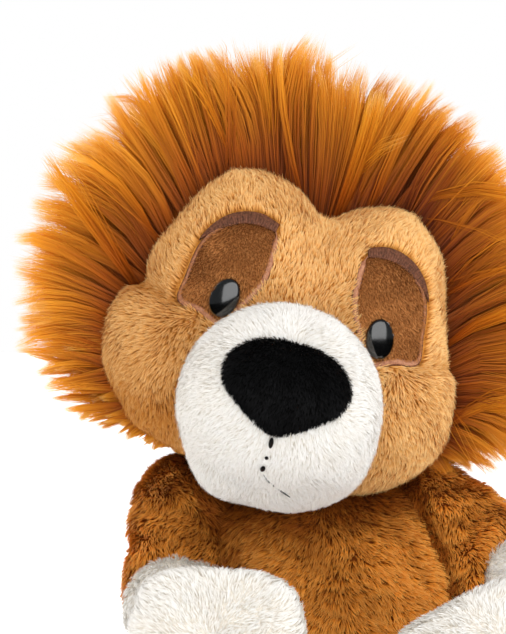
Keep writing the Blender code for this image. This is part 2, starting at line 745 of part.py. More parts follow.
# The pieces, body by body


def build_head(pivot, lifted_arms):
    bores = {}
    for name, side in (("right", -1), ("left", 1)):
        bores[name] = cutter(eye_bore(side, SHANK_RADIUS + GAP, 3 * CLOTH), f"{name}_shank_bore", pivot)
    face = finish(face_skin_mesh(), "face_skin", pivot, LOOKS["golden plush"])
    combine(face, bores.values())
    pockets = [
        cutter(eye_bore(side, WASHER_RADIUS + GAP, SHANK_BACK + GAP), f"{name}_washer_pocket", pivot)
        for name, side in (("right", -1), ("left", 1))
    ]
    combine(finish(head_filling_mesh(), "head_filling", pivot, LOOKS["filling"]), pockets)
    under = cutter(ring_mesh([face_ring(t, -GAP) for t in FRONT_TURNS]), "face_clearance", pivot)
    combine(finish(muzzle_mesh(), "muzzle", pivot, LOOKS["white plush"]), [under])
    muzzle = cutter(muzzle_clearance_mesh(), "muzzle_clearance", pivot)
    combine(finish(nose_mesh(), "nose", pivot, LOOKS["black plush"]), [muzzle])
    finish(mouth_mesh(), "mouth_thread", pivot, LOOKS["black plush"])
    for name, side in (("right", -1), ("left", 1)):
        mane = finish(mane_half_mesh(side), f"{name}_mane", pivot, LOOKS["mane fur"])
        combine(mane, [lifted_arms[name]])
        patch = finish(patch_mesh(side), f"{name}_eye_patch", pivot, LOOKS["brown velour"])
        combine(patch, [under, bores[name]])
        combine(finish(brow_mesh(side), f"{name}_brow", pivot, LOOKS["brow stitches"]), [under])
        finish(eye_mesh(side), f"{name}_eye", pivot, LOOKS["black plastic"])
        finish(washer_mesh(side), f"{name}_eye_washer", pivot, LOOKS["washer plastic"])


def head_cutter(pivot):
    """Hull of the head's outside, grown by the gap, at its tilts."""
    rings = head_envelope(GAP)
    rings += [muzzle_ring(share, muzzle_rise(share) + GAP, GAP) for share in MUZZLE_SHARES]
    rings = [turned(ring, tilt, NECK, "Y") for ring in rings for tilt in HEAD_TILTS]
    return cutter(hull_mesh(rings), "head_clearance", pivot)


def limb_cutter(limb, shares, name, pivot, swings=(0,), axis="Z", grow=GAP):
    """Hull of the limb's outside, grown, at its swings about the axis through its joint."""
    rings = [turned(limb.ring(share, -grow), swing, limb.start, axis) for share in shares for swing in swings]
    return cutter(hull_mesh(rings), name, pivot)


def lifted_arm_cutter(limb, lifts, name, pivot):
    """Hull of the arm's outside, with room round it, at its lifts and at the head's tilts against it."""
    rings = [limb.ring(share, -ARM_ROOM) for share in (*SLEEVE_SHARES, *HAND_SHARES)]
    rings = [turned(ring, lift, limb.start, "Y") for ring in rings for lift in lifts]
    rings = [turned(ring, tilt, NECK, "Y") for ring in rings for tilt in HEAD_TILTS]
    return cutter(hull_mesh(rings), name, pivot)


def build_torso(pivot, cutters):
    inner = cutter(torso_mesh(CLOTH), "torso_inside", pivot)
    for name, side in (("right", -1), ("left", 1)):
        skin = finish(cut_flat(torso_mesh(0)), f"torso_{name}_skin", pivot, LOOKS["brown plush"])
        cut_by_all(skin, cutters, f"{name}_neighbours")
        combine(skin, [inner, cutter(far_side(side), f"beyond_{name}_half", pivot)])
    filling = keep_side(torso_core_mesh(), (0, 0, POUCH_TOP + GAP), (0, 0, -1))
    cut_by_all(finish(filling, "torso_filling", pivot, LOOKS["filling"]), cutters, "filling_neighbours")
    pouch = keep_side(torso_core_mesh(), (0, 0, POUCH_TOP), (0, 0, 1))
    cut_by_all(finish(pouch, "bean_pouch", pivot, LOOKS["bean pouch"]), cutters, "pouch_neighbours")


def far_side(side):
    """Block on the other side of the torso's slanting middle seam."""
    top, bottom = TORSO_HEIGHT + OVERRUN, -OVERRUN
    lean = SEAM_LEAN / TORSO_HEIGHT
    rings = []
    for y in (-2 * OVERRUN, 2 * OVERRUN):
        seam = [side * GAP / 2 - SEAM_SHIFT - lean * z for z in (bottom, top)]
        far = -side * 2 * OVERRUN
        rings.append([(seam[0], y, bottom), (seam[1], y, top), (far, y, top), (far, y, bottom)])
    return ring_mesh(rings)


def build_arm(name, limb, pivot, head):
    rings = [limb.ring(share) for share in SLEEVE_SHARES]
    rings += [limb.ring(share, CLOTH) for share in SLEEVE_SHARES[::-1]]
    combine(finish(ring_mesh(rings), f"{name}_sleeve", pivot, LOOKS["brown plush"]), [head])
    hand = (*HAND_SHARES[::-1], ARM_SEAM_SHARE + GAP / limb.length())
    rings = [limb.ring(share) for share in hand] + [limb.ring(share, CLOTH) for share in hand[::-1]]
    finish(ring_mesh(rings), f"{name}_hand", pivot, LOOKS["white plush"])
    rings = [limb.ring(share, CLOTH + GAP) for share in (*SLEEVE_SHARES, *HAND_SHARES)]
    combine(finish(ring_mesh(rings), f"{name}_arm_filling", pivot, LOOKS["filling"]), [head])


def build_leg(name, side, limb, roll, pivot):
    rings = [limb.ring(share) for share in LEG_SHARES]
    rings += [limb.ring(share, CLOTH) for share in LEG_SHARES[::-1]]
    skin = finish(cut_flat(ring_mesh(rings)), f"{name}_leg", pivot, LOOKS["brown plush"])
    combine(skin, [cutter(foot_mesh(side, roll, -GAP), f"{name}_foot_clearance", pivot)])
    foot = finish(cut_flat(foot_mesh(side, roll, 0)), f"{name}_foot", pivot, LOOKS["white plush"])
    bore = [limb.ring(share, CLOTH) for share in LEG_SHARES[-3:]]
    inside = cutter(foot_mesh(side, roll, CLOTH), f"{name}_foot_inside", pivot)
    combine(foot, [inside, cutter(ring_mesh(bore), f"{name}_ankle_bore", pivot)])
    rings = [limb.ring(share, CLOTH + GAP) for share in LEG_SHARES]
    filling = finish(ring_mesh(rings), f"{name}_leg_filling", pivot, LOOKS["filling"])
    pad = cutter(foot_mesh(side, roll, CLOTH + GAP), f"{name}_foot_pad", pivot)
    combine(filling, [pad], "UNION")


def make_tail():
    start = np.array([0, TORSO_HALF_DEPTH, TAIL_RISE])
    end = start + np.array([TAIL_SIDE, TAIL_BACK, TUFT_RADIUS + SINK - TAIL_RISE])
    middle = start + np.array([0, TAIL_BACK, (end - start)[2]])
    return Limb(start, middle, end, TAIL_RADIUS, TAIL_RADIUS, 1, 1, (0, 0, 1), False)


def build_tail(tail, pivot):
    rings = [tail.ring(share, 0, LIMB_SEGMENTS // 2) for share in (*ROOT_SHARES[1:], 0.2, 0.4, 0.6, 0.8, 1)]
    finish(ring_mesh(rings), "tail", pivot, LOOKS["brown plush"])
    along = tail.frame(1)[0]
    rings = []
    for turn in np.linspace(0, math.pi, 9)[1:-1]:
        middle = tail.end + along * (GAP + TUFT_LENGTH / 2 * (1 - math.cos(turn)))
        radius = TUFT_RADIUS * math.sin(turn) ** (2 / CHEST_FULLNESS)
        turns = np.arange(LIMB_SEGMENTS) * 2 * math.pi / LIMB_SEGMENTS
        across, up = tail.frame(1)[1:]
        rings.append(middle + radius * (np.sin(turns)[:, None] * across + np.cos(turns)[:, None] * up))
    start = tail.end + along * GAP
    rings.insert(0, start + (rings[0] - rings[0].mean(axis=0)))
    finish(ring_mesh(rings), "tail_tuft", pivot, LOOKS["mane fur"])


def clear_scene():
    for obj in list(bpy.data.objects):
        bpy.data.objects.remove(obj, do_unlink=True)


clear_scene()
LOOKS = {
    "golden plush": material("Golden plush", "DC9A42", 0.95),
    "brown plush": material("Brown plush", "A65C1C", 0.95),
    "white plush": material("White plush", "F3ECE2", 0.95),
    "black plush": material("Black plush", "0C0C0D", 0.9),
    "mane fur": material("Mane fur", "B4661A", 0.8),
    "brown velour": material("Brown velour", "7A4A26", 0.95),
    "brow stitches": material("Brow stitches", "4A302A", 0.7),
    "black plastic": material("Black plastic", "050505", 0.05),
    "washer plastic": material("Washer plastic", "D8D8D4", 0.4),
    "filling": material("Polyester filling", "F4F4F0", 1),
    "bean pouch": material("Bean pouch", "E4E0D6", 0.9),
}
BODY = empty("body", (0, 0, 0))
HEAD = empty("head", NECK)
RIGHT_ARM_LIMB, LEFT_ARM_LIMB = make_arm(-1, RIGHT_ARM), make_arm(1, LEFT_ARM)
RIGHT_LEG_LIMB, LEFT_LEG_LIMB = make_leg(-1, RIGHT_FOOT_ROLL), make_leg(1, LEFT_FOOT_ROLL)
TAIL_LIMB = make_tail()

ARMS = (("right", RIGHT_ARM_LIMB, RIGHT_ARM_LIFTS), ("left", LEFT_ARM_LIMB, LEFT_ARM_LIFTS))
build_head(HEAD, {name: lifted_arm_cutter(limb, lifts, f"{name}_arm_room", HEAD) for name, limb, lifts in ARMS})
HEAD_CUTTER = head_cutter(BODY)
NEIGHBOURS = [HEAD_CUTTER]
for arm_name, arm, arm_lifts in ARMS:
    build_arm(arm_name, arm, empty(f"{arm_name}_shoulder", arm.start), HEAD_CUTTER)
    arm_shares, cutter_name = (*SLEEVE_SHARES, *HAND_SHARES), f"{arm_name}_arm_clearance"
    NEIGHBOURS.append(limb_cutter(arm, arm_shares, cutter_name, BODY, arm_lifts, "Y", 2 * GAP))
for leg_name, leg_side, leg, foot_roll in (
    ("right", -1, RIGHT_LEG_LIMB, RIGHT_FOOT_ROLL),
    ("left", 1, LEFT_LEG_LIMB, LEFT_FOOT_ROLL),
):
    build_leg(leg_name, leg_side, leg, foot_roll, empty(f"{leg_name}_hip", leg.start))
    leg_swings = [leg_side * swing for swing in LEG_SWINGS]
    NEIGHBOURS.append(limb_cutter(leg, LEG_SHARES, f"{leg_name}_leg_clearance", BODY, leg_swings))
build_tail(TAIL_LIMB, empty("tail_root", TAIL_LIMB.start))
NEIGHBOURS.append(limb_cutter(TAIL_LIMB, (*ROOT_SHARES, 0.2), "tail_clearance", BODY))
build_torso(BODY, NEIGHBOURS)
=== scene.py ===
"""Looks of a seated plush lion: stuffed skins under a short pile of seeded blades, and a long-pile mane.

Lengths are in metres. The lion faces -Y, so its right side is at -X. The head has its own frame: u towards the
lion's left, w forward and v up, rolled towards the lion's left.
"""

import json
import math

import bmesh
import bpy
import numpy as np
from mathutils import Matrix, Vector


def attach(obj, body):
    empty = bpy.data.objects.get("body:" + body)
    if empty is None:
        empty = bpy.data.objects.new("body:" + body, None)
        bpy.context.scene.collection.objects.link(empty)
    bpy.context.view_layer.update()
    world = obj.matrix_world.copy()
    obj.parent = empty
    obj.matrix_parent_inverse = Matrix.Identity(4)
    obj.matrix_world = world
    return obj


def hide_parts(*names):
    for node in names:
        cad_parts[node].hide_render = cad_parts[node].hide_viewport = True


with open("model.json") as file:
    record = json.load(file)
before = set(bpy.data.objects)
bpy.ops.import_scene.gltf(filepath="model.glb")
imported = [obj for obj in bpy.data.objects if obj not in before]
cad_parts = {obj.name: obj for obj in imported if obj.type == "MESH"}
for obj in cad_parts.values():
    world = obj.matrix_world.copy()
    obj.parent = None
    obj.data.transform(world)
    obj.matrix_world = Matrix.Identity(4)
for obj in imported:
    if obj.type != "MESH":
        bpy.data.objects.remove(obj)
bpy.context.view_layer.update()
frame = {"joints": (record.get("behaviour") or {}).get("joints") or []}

MM = 0.001
JOINTS = {joint["name"]: np.array(joint["pos_m"]) for joint in frame["joints"]}

# Camera: level, square to the lion's front
CAMERA_PLACE = (-38.8 * MM, -1130 * MM, 173.2 * MM)
CAMERA_LENS = 156.2

# Head
FACE_HALF_WIDTH = 73 * MM
HEAD_FRONT = 50 * MM
HEAD_BACK = 50 * MM
HEAD_ROLL = math.radians(15)
HEAD_MIDDLE = JOINTS["head_tilt"] + np.array([-7 * MM, -8 * MM, 0.77 * FACE_HALF_WIDTH])
FACE_FULLNESS = 2.4
NAPE_FULLNESS = 2.2
# Outline of the face: degrees from straight up, and share of the half width
FACE_OUTLINE_SHARES = (
    (-180, 0.69), (-155, 0.69), (-148, 0.71), (-140, 0.765), (-130, 0.84), (-124, 0.9), (-118, 0.92),
    (-106, 0.985), (-100, 1.005), (-86, 1.0),
    (-80, 0.965), (-76, 0.89), (-72, 0.905), (-66, 0.945), (-52, 0.985), (-38, 1.06), (-29, 1.08),
    (-15, 0.975), (-4, 0.825), (2, 0.815), (11, 0.92), (22, 1.035), (29, 1.04), (40, 1.005), (50, 0.925),
    (63, 0.865), (76, 0.86), (81, 0.895), (95, 0.93), (103, 0.95), (112, 0.925), (121, 0.885),
    (130, 0.84), (140, 0.785), (150, 0.73), (165, 0.69), (180, 0.69),
)
# Puffs of the face: how far out and up each is, how far it spreads and how high it rises
CHEEK = (52 * MM, -14 * MM, 19 * MM, 6 * MM)
BROW = (32 * MM, 44 * MM, 22 * MM, 5 * MM)
# The crease above each cheek: the two ends (u, v) of its line, its spread and its depth
CREASE = ((64 * MM, 15 * MM), (46 * MM, 11.5 * MM))
CREASE_SPREAD = 2 * MM
CREASE_DEPTH = 2.6 * MM

# Muzzle, nose and mouth
MUZZLE_RADIUS = 38.5 * MM
# Outlines of the muzzle and the nose: degrees from straight up, and share of the radius or the half width
MUZZLE_OUTLINE_SHARES = (
    (-180, 1.05), (-165, 1.1), (-153, 1.12), (-138, 1.06), (-122, 1.01), (-90, 1.0), (70, 1.0), (90, 1.01),
    (104, 1.05), (117, 1.11), (130, 1.14), (145, 1.11), (160, 1.085), (170, 1.06), (180, 1.05),
)
MUZZLE_PROUD = 36 * MM
MUZZLE_EDGE = 2.6 * MM
MUZZLE_DROP = 16 * MM
MUZZLE_FULLNESS = 2.5
DOME_FULLNESS = 2.2
NOSE_HALF_WIDTH = 24.5 * MM
NOSE_PROUD = 5 * MM
NOSE_LIFT = 0.8 * MM
NOSE_DROP = 7 * MM
NOSE_OUTLINE_SHARES = (
    (0, 0.66), (30, 0.74), (55, 0.88), (80, 1.0), (100, 0.95), (122, 0.775), (150, 0.71), (180, 0.765),
)
# Stitches of the mouth, in millimetres: the points (u, v) of each, its radius and how proud of the muzzle it is
MOUTH_STITCHES = (
    (((0, -27.2), (0.2, -29.3), (0.4, -31.4)), 0.9, 2.5),
    (((0.1, -34.8), (0.1, -35.5), (0, -36.2)), 0.75, 3.3),
    (((0.1, -39.0), (-0.1, -40.2), (-0.4, -41.4)), 0.95, 3.4),
    (((0.7, -42.4), (2.6, -44.2), (5.6, -46.0), (9.4, -47.8), (13.5, -49.4)), 0.4, 3.1),
)

# Eye patches, brows and eyes, on the lion's left half of the face
PATCH_MIDDLE = (33 * MM, 28 * MM)
PATCH_HALF_SIZE = (15.5 * MM, 20 * MM)
# Outline of the patch and middle line of the brow, in shares of the patch's half size, and the brow's width
PATCH_OUTLINE_SHARES = (
    (-0.92, 1.06), (-0.3, 1.1), (0.25, 0.98), (0.62, 0.73), (0.85, 0.34), (0.94, -0.2), (0.97, -0.68),
    (0.4, -0.79), (-0.08, -0.95), (-0.3, -0.82), (-0.62, -0.45), (-0.92, 0.0), (-1.0, 0.45),
)
BROW_LINE_SHARES = (
    (-0.95, 1.13, 0.75), (-0.5, 1.21, 1.0), (-0.1, 1.18, 1.0), (0.25, 1.06, 0.95), (0.56, 0.88, 0.65),
    (0.8, 0.66, 0.3), (0.9, 0.52, 0.05),
)
BROW_WIDTH = 5.2 * MM
EYE_MIDDLE = (31.2 * MM, 19 * MM)
EYE_HALF_SIZE = (5.7 * MM, 8.0 * MM)
EYE_PROUD = 3.0 * MM
# The eye is set at half of the face's slope there
EYE_TILT = 0.5
EYE_RIM = 0.6 * MM
EYE_SEAT = 2.2 * MM
EYE_LEAN = math.radians(-12)

# Mane
MANE_REACH = 122 * MM
MANE_FORWARD = 14 * MM
MANE_LEAST = 4 * MM
MANE_BACK = 34 * MM
MANE_REACH_SHARES = (
    (0, 1.0), (45, 0.98), (90, 0.93), (100, 0.87), (110, 0.79), (120, 0.69), (130, 0.62),
    (140, 0.57), (160, 0.52), (180, 0.5),
)
# How far ahead of the face's seam the front tips are: degrees from straight up, and share of that distance
MANE_FORWARD_SHARES = ((0, 1.0), (90, 0.85), (112, 0.15), (128, -0.4), (150, -0.7), (180, -0.8))
# The tips' own reach as a share of the fur's space: degrees from straight up, towards the lion's left
MANE_TIP_SHARES = (
    (-180, 0.65), (-145, 0.72), (-131, 0.88), (-118, 0.98), (-101, 0.97), (-85, 1.01), (-64, 1.04),
    (-37, 1.06), (-15, 1.03), (4, 0.97), (15, 1.0), (40, 0.99), (90, 0.99), (98, 0.94), (104, 0.86),
    (110, 0.77), (125, 0.68), (180, 0.65),
)
# Where the face's outline is notched, in degrees: the hair fans out from there
MANE_FANS = (0, -76, 78)
# Least and most length of its hair
MANE_HAIR = (9 * MM, 80 * MM)
# Each part of a half: its strands, where their roots begin and end in radians behind the face's seam, the rows of
# points along a strand, how many times as wide it is as one of the front, and its seed
MANE_PARTS = {
    "front": (21800, (0, 0.24), 5, 1, 50),
    "middle": (18000, (0.16, 0.75), 5, 1.15, 56),
    "back": (14000, (0.6, 1.56), 4, 2.2, 60),
}

# Torso
TORSO_HEIGHT = 118 * MM
TORSO_HALF_WIDTH = 60 * MM
TORSO_HALF_DEPTH = 48 * MM
TORSO_WIDEST = 34 * MM
TORSO_LEAN = 22 * MM
CHEST_FULLNESS = 2.2
SEAT_FULLNESS = 3.5
# Where the pile parts on the belly
PARTING = -6 * MM

# Arms: how far out, forward and down the hand's tip is from the shoulder's joint, how far the arm bows out and
# how far it drops first, its radius at the shoulder, the share of its length at which the hand is sewn on, and
# how much later that is on its outer side, or on its inner side where it is negative
WRIST_RADIUS = 23.5 * MM
ARM_THICKNESS_SHARE = 0.88
HAND_FULLNESS = 2.6
RIGHT_ARM = (4 * MM, 36 * MM, 47 * MM, 4 * MM, 0.667, 23 * MM, 0.52, 0.22)
LEFT_ARM = (33 * MM, 34 * MM, 45 * MM, 4 * MM, 0.5, 19.5 * MM, 0.55, -0.4)
# The fold between each arm and the torso, along which painted shade darkens the pile: a point (x, z) of it, and
# how far it moves sideways for each metre down
RIGHT_FOLD = (-58.8 * MM, 105.6 * MM, 0.54)
LEFT_FOLD = (24 * MM, 102 * MM, 0.38)

# Legs
LEG_RADIUS = 22 * MM
ANKLE_RADIUS = 22.5 * MM
LEG_REACH = 68 * MM
LEG_SPLAY = 17 * MM
FOOT_HALF_WIDTH = 34 * MM
FOOT_HALF_DEPTH = 16 * MM
FOOT_FULLNESS = 2.7
FOOT_SQUARENESS = 3.8
# How far each foot is rolled, and its half height
RIGHT_FOOT = (math.radians(-4), 40 * MM)
LEFT_FOOT = (math.radians(65), 38 * MM)

# Tail
TAIL_RADIUS = 6 * MM
TAIL_BACK = 62 * MM
TAIL_SIDE = 46 * MM
TUFT_RADIUS = 13 * MM
TUFT_LENGTH = 44 * MM
TUFT_HAIR = 34 * MM
TUFT_HAIRS = 4200

# Limbs: where their rings begin, in the ball at the joint, and end, as shares of their length
LIMB_START = -0.97
LIMB_END = 0.997
# How far a limb's skin lies inside its solid, so that its pile ends near the solid's surface
SKIN_INSET = 1.5 * MM
# How far a seam draws a sleeve or a hand in, and how near to it the cloth is held while it is stuffed
SEAM_DRAW = 0.08
SEAM_HOLD = 3.5 * MM
# Nothing lies lower than the first, and no pile grows lower than the second
FLOOR_GAP = 0.3 * MM
BARE_BELOW = 1.5 * MM

# Stuffing: the cloth's pressure, how far it may stretch, and the frames that it is given to settle
PRESSURE = 4
STRETCH = -0.05
SETTLE_FRAMES = 20

# The fibres' own map, and the number of shades that it holds side by side
BAKE_MAP = "OFBake"
SHADES = 32
# Odd factors that make one number of a cell's three
CELL_FACTORS = (73856093, 19349663, 83492791)


# Numbers and vectors


def hermite(table, places):
    """Smooth curve through the table's (place, value) rows, level at both ends."""
    xs, ys = (np.array(column, float) for column in zip(*table))
    slopes = np.zeros(len(xs))
    slopes[1:-1] = (ys[2:] - ys[:-2]) / (xs[2:] - xs[:-2])
    places = np.clip(places, xs[0], xs[-1])
    i = np.clip(np.searchsorted(xs, places, side="right") - 1, 0, len(xs) - 2)
    width = xs[i + 1] - xs[i]
    t = (places - xs[i]) / width
    return (
        (1 + 2 * t) * (1 - t) ** 2 * ys[i]
        + t * (1 - t) ** 2 * width * slopes[i]
        + t**2 * (3 - 2 * t) * ys[i + 1]
        + t**2 * (t - 1) * width * slopes[i + 1]
    )


def unit(vectors):
    return vectors / np.maximum(np.linalg.norm(vectors, axis=-1, keepdims=True), 1e-12)


def dot(a, b):
    return (a * b).sum(-1)


def ripple(points, size, seed):
    """Smooth noise of about -1 to 1: eight seeded sine waves, each about this long, added up."""
    rng = np.random.default_rng(seed)
    waves = unit(rng.normal(size=(8, 3))) * 2 * math.pi / (size * rng.uniform(0.7, 1.6, (8, 1)))
    return np.sin(np.asarray(points) @ waves.T + rng.uniform(0, 2 * math.pi, 8)).sum(-1) / 3


def smooth_step(low, high, values):
    share = np.clip((values - low) / (high - low), 0, 1)
    return share * share * (3 - 2 * share)


# The head's surfaces


def to_world(u, w, v):
    """World points of the head's own coordinates, which may be arrays."""
    u, w, v = np.broadcast_arrays(u, w, v)
    x = u * math.cos(HEAD_ROLL) + v * math.sin(HEAD_ROLL)
    z = v * math.cos(HEAD_ROLL) - u * math.sin(HEAD_ROLL)
    return np.stack([x, -w, z], axis=-1) + HEAD_MIDDLE


def to_head(points):
    """The head's own coordinates u, w and v of world points."""
    x, y, z = np.moveaxis(np.asarray(points) - HEAD_MIDDLE, -1, 0)
    u = x * math.cos(HEAD_ROLL) - z * math.sin(HEAD_ROLL)
    return u, -y, x * math.sin(HEAD_ROLL) + z * math.cos(HEAD_ROLL)


def turn_world(u, w, v):
    """World direction of a direction in the head's frame."""
    return to_world(u, w, v) - HEAD_MIDDLE


def outline_radius(table, size, angle):
    """Radius of an outline at angles from straight up. A table from 0 is the same left and right."""
    degrees = np.degrees((np.asarray(angle) + math.pi) % (2 * math.pi) - math.pi)
    return size * hermite(table, np.abs(degrees) if table[0][0] == 0 else degrees)


def bump(u, v, spot):
    """Rounded rise, a bell curve about a place and its mirror image: spot holds place, spread and height."""
    out, up, spread, height = spot
    return height * np.exp(-((np.abs(u) - out) ** 2 + (v - up) ** 2) / (2 * spread**2))


def face_front(u, v):
    """Forward reach of the face: a superellipse in depth over the outline, with puffed cheeks and brows."""
    radius = outline_radius(FACE_OUTLINE_SHARES, FACE_HALF_WIDTH, np.arctan2(u, v))
    inside = np.clip(1 - (np.hypot(u, v) / radius) ** FACE_FULLNESS, 0, 1)
    puffs = (bump(u, v, CHEEK) + bump(u, v, BROW)) * np.sqrt(inside)
    return HEAD_FRONT * inside ** (1 / FACE_FULLNESS) + puffs


def muzzle_radius(u, v):
    """Radius of the muzzle's outline in the direction of points about its middle."""
    return outline_radius(MUZZLE_OUTLINE_SHARES, MUZZLE_RADIUS, np.arctan2(u, v + MUZZLE_DROP))


def muzzle_front(u, v):
    """Forward reach of the muzzle: a superellipse dome on the face about the muzzle's middle.

    Beyond the face's outline it keeps the depth that the face has just inside it, so the chin hangs over.
    """
    share = np.clip(np.hypot(u, v + MUZZLE_DROP) / muzzle_radius(u, v), 0, 1)
    seam = outline_radius(FACE_OUTLINE_SHARES, FACE_HALF_WIDTH, np.arctan2(u, v))
    inward = np.minimum(1, 0.95 * seam / np.maximum(np.hypot(u, v), 1e-6))
    dome = MUZZLE_PROUD * (1 - share**MUZZLE_FULLNESS) ** (1 / DOME_FULLNESS)
    return face_front(u * inward, v * inward) + MUZZLE_EDGE + dome


def back_points(t, angles, inset=0.0):
    """Head coordinates of the head's back, a superellipse in depth: t runs from the seam to its middle."""
    share = np.maximum(np.sin(t), 0) ** (2 / NAPE_FULLNESS)
    radius = (outline_radius(FACE_OUTLINE_SHARES, FACE_HALF_WIDTH, angles) - inset) * share
    depth = (HEAD_BACK - inset) * np.abs(np.cos(t)) ** (2 / NAPE_FULLNESS)
    return radius * np.sin(angles), -depth, radius * np.cos(angles)


def mane_excess(points):
    """How far points reach out in the space of the mane's fur: 1 is on its surface.

    That space is a superellipse about the face's seam, over the outline across and the depth behind its front.
    """
    u, w, v = to_head(points)
    angle = np.arctan2(u, v)
    seam = outline_radius(FACE_OUTLINE_SHARES, FACE_HALF_WIDTH, angle)
    reach = np.maximum(outline_radius(MANE_REACH_SHARES, MANE_REACH, angle), seam + MANE_LEAST)
    across = np.hypot(u, v) / reach
    front = outline_radius(MANE_FORWARD_SHARES, MANE_FORWARD, angle)
    depth = np.clip(front - w, 0, None) / (HEAD_BACK + MANE_BACK + front)
    return (across**NAPE_FULLNESS + depth**NAPE_FULLNESS) ** (1 / NAPE_FULLNESS)


# Meshes


def mesh_of(name, points, *face_sets):
    """Mesh from an array of points and arrays of faces, each with one number of corners."""
    corners = np.concatenate([faces.ravel() for faces in face_sets]).astype(np.int32)
    counts = np.concatenate([np.full(len(faces), faces.shape[1]) for faces in face_sets])
    mesh = bpy.data.meshes.new(name)
    mesh.vertices.add(len(points))
    mesh.vertices.foreach_set("co", np.asarray(points, np.float32).ravel())
    mesh.loops.add(len(corners))
    mesh.loops.foreach_set("vertex_index", corners)
    mesh.polygons.add(len(counts))
    mesh.polygons.foreach_set("loop_start", (np.cumsum(counts) - counts).astype(np.int32))
    mesh.update(calc_edges=True)
    mesh.shade_smooth()
    return mesh


def wrapped_grid(rows, columns):
    """Point numbers of a grid whose rows are rings, the numbers beside them, and the quads between the rings."""
    here = np.arange(rows * columns).reshape(rows, columns)
    beside = np.roll(here, -1, axis=1)
    return here, beside, np.stack([here[:-1], beside[:-1], beside[1:], here[1:]], axis=-1).reshape(-1, 4)


def ring_skin(name, rings):
    """Closed mesh through rings of points, an array of rows, with each end drawn together at its middle."""
    rows, columns = rings.shape[:2]
    here, beside, quads = wrapped_grid(rows, columns)
    ends = rings[[0, -1]].mean(axis=1)
    first, last = rows * columns, rows * columns + 1
    caps = [
        np.stack([np.full(columns, pole), a, b], axis=-1)
        for pole, a, b in ((first, beside[0], here[0]), (last, here[-1], beside[-1]))
    ]
    mesh = mesh_of(name, np.concatenate([rings.reshape(-1, 3), ends]), quads, *caps)
    return face_outwards(mesh)


def face_outwards(mesh):
    """Merges doubles and turns every face outwards."""
    bm = bmesh.new()
    bm.from_mesh(mesh)
    bmesh.ops.remove_doubles(bm, verts=bm.verts, dist=MM / 1000)
    bmesh.ops.dissolve_degenerate(bm, edges=bm.edges, dist=MM / 1000)
    bmesh.ops.recalc_face_normals(bm, faces=bm.faces)
    bm.to_mesh(mesh)
    bm.free()
    return mesh


def slab_skin(name, outer, inner):
    """Closed mesh between two grids of points of one size, joined round their edges."""
    rows, columns = outer.shape[:2]
    here = np.arange(rows * columns).reshape(rows, columns)
    quads = np.stack([here[:-1, :-1], here[:-1, 1:], here[1:, 1:], here[1:, :-1]], axis=-1).reshape(-1, 4)
    border = np.concatenate([here[0], here[1:, -1], here[-1, -2::-1], here[-2:0:-1, 0]])
    after = np.roll(border, -1)
    size = rows * columns
    rim = np.stack([border, after, after + size, border + size], axis=-1)
    points = np.concatenate([outer.reshape(-1, 3), inner.reshape(-1, 3)])
    return face_outwards(mesh_of(name, points, quads, quads[:, ::-1] + size, rim))


def place(mesh, look, body, slot, *nodes):
    """Object with this mesh that rides on a body and stands for these nodes."""
    obj = bpy.data.objects.new(mesh.name, mesh)
    bpy.context.scene.collection.objects.link(obj)
    if not mesh.materials:
        mesh.materials.append(look)
    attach(obj, body)
    if nodes:
        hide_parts(*nodes)
    return obj


# Stuffing


def vertices_of(mesh):
    points = np.empty(len(mesh.vertices) * 3)
    mesh.vertices.foreach_get("co", points)
    return points.reshape(-1, 3)


def evaluated(obj):
    """Mesh of the object with its modifiers applied."""
    bpy.context.view_layer.update()
    return bpy.data.meshes.new_from_object(obj.evaluated_get(bpy.context.evaluated_depsgraph_get()))


def stuffed(mesh, pinned, puff, cell=4.5 * MM):
    """Fills a closed skin with fibre: cloth under pressure, held where pinned says, moving at most by puff."""
    scene = bpy.context.scene
    obj = bpy.data.objects.new("stuffing", mesh)
    scene.collection.objects.link(obj)
    even = obj.modifiers.new("even", "REMESH")
    even.mode = "VOXEL"
    even.voxel_size = cell
    obj.data = evaluated(obj)
    obj.modifiers.clear()
    before = vertices_of(obj.data)
    seam = obj.vertex_groups.new(name="seam")
    seam.add(np.flatnonzero(pinned(before)).tolist(), 1.0, "REPLACE")
    cloth = obj.modifiers.new("cloth", "CLOTH").settings
    cloth.quality = 5
    cloth.use_pressure = True
    cloth.uniform_pressure_force = PRESSURE
    cloth.shrink_min = STRETCH
    cloth.vertex_group_mass = "seam"
    cloth.effector_weights.gravity = 0
    for step in range(1, SETTLE_FRAMES + 1):
        scene.frame_set(step)
    move = vertices_of(evaluated(obj)) - before
    move *= np.minimum(1, puff / np.maximum(np.linalg.norm(move, axis=1, keepdims=True), MM / 1000))
    obj.modifiers.clear()
    scene.frame_set(1)
    obj.data.vertices.foreach_set("co", (before + move).astype(np.float32).ravel())
    finer = obj.modifiers.new("finer", "SUBSURF")
    finer.levels = finer.render_levels = 1
    made = evaluated(obj)
    made.name = mesh.name
    made.shade_smooth()
    bpy.data.objects.remove(obj)
    return made


# Pile and hair


def triangles_of(obj):
    """Corner places and corner normals of the triangles of an object."""
    mesh = obj.data
    mesh.calc_loop_triangles()
    corners = np.empty(len(mesh.loop_triangles) * 3, np.int32)
    mesh.loop_triangles.foreach_get("vertices", corners)
    normals = np.empty(len(mesh.vertices) * 3)
    mesh.vertex_normals.foreach_get("vector", normals)
    corners = corners.reshape(-1, 3)
    return vertices_of(mesh)[corners], normals.reshape(-1, 3)[corners]


def everywhere(places, normals):
    """Keeps every place."""
    return slice(None)


def above_floor(places, normals):
    """Keeps the places that are clear of the floor."""
    return places[:, 2] > BARE_BELOW


def steady(direction):
    """Nap that lies in one direction all over."""
    return lambda places: np.asarray(direction) + 0 * places


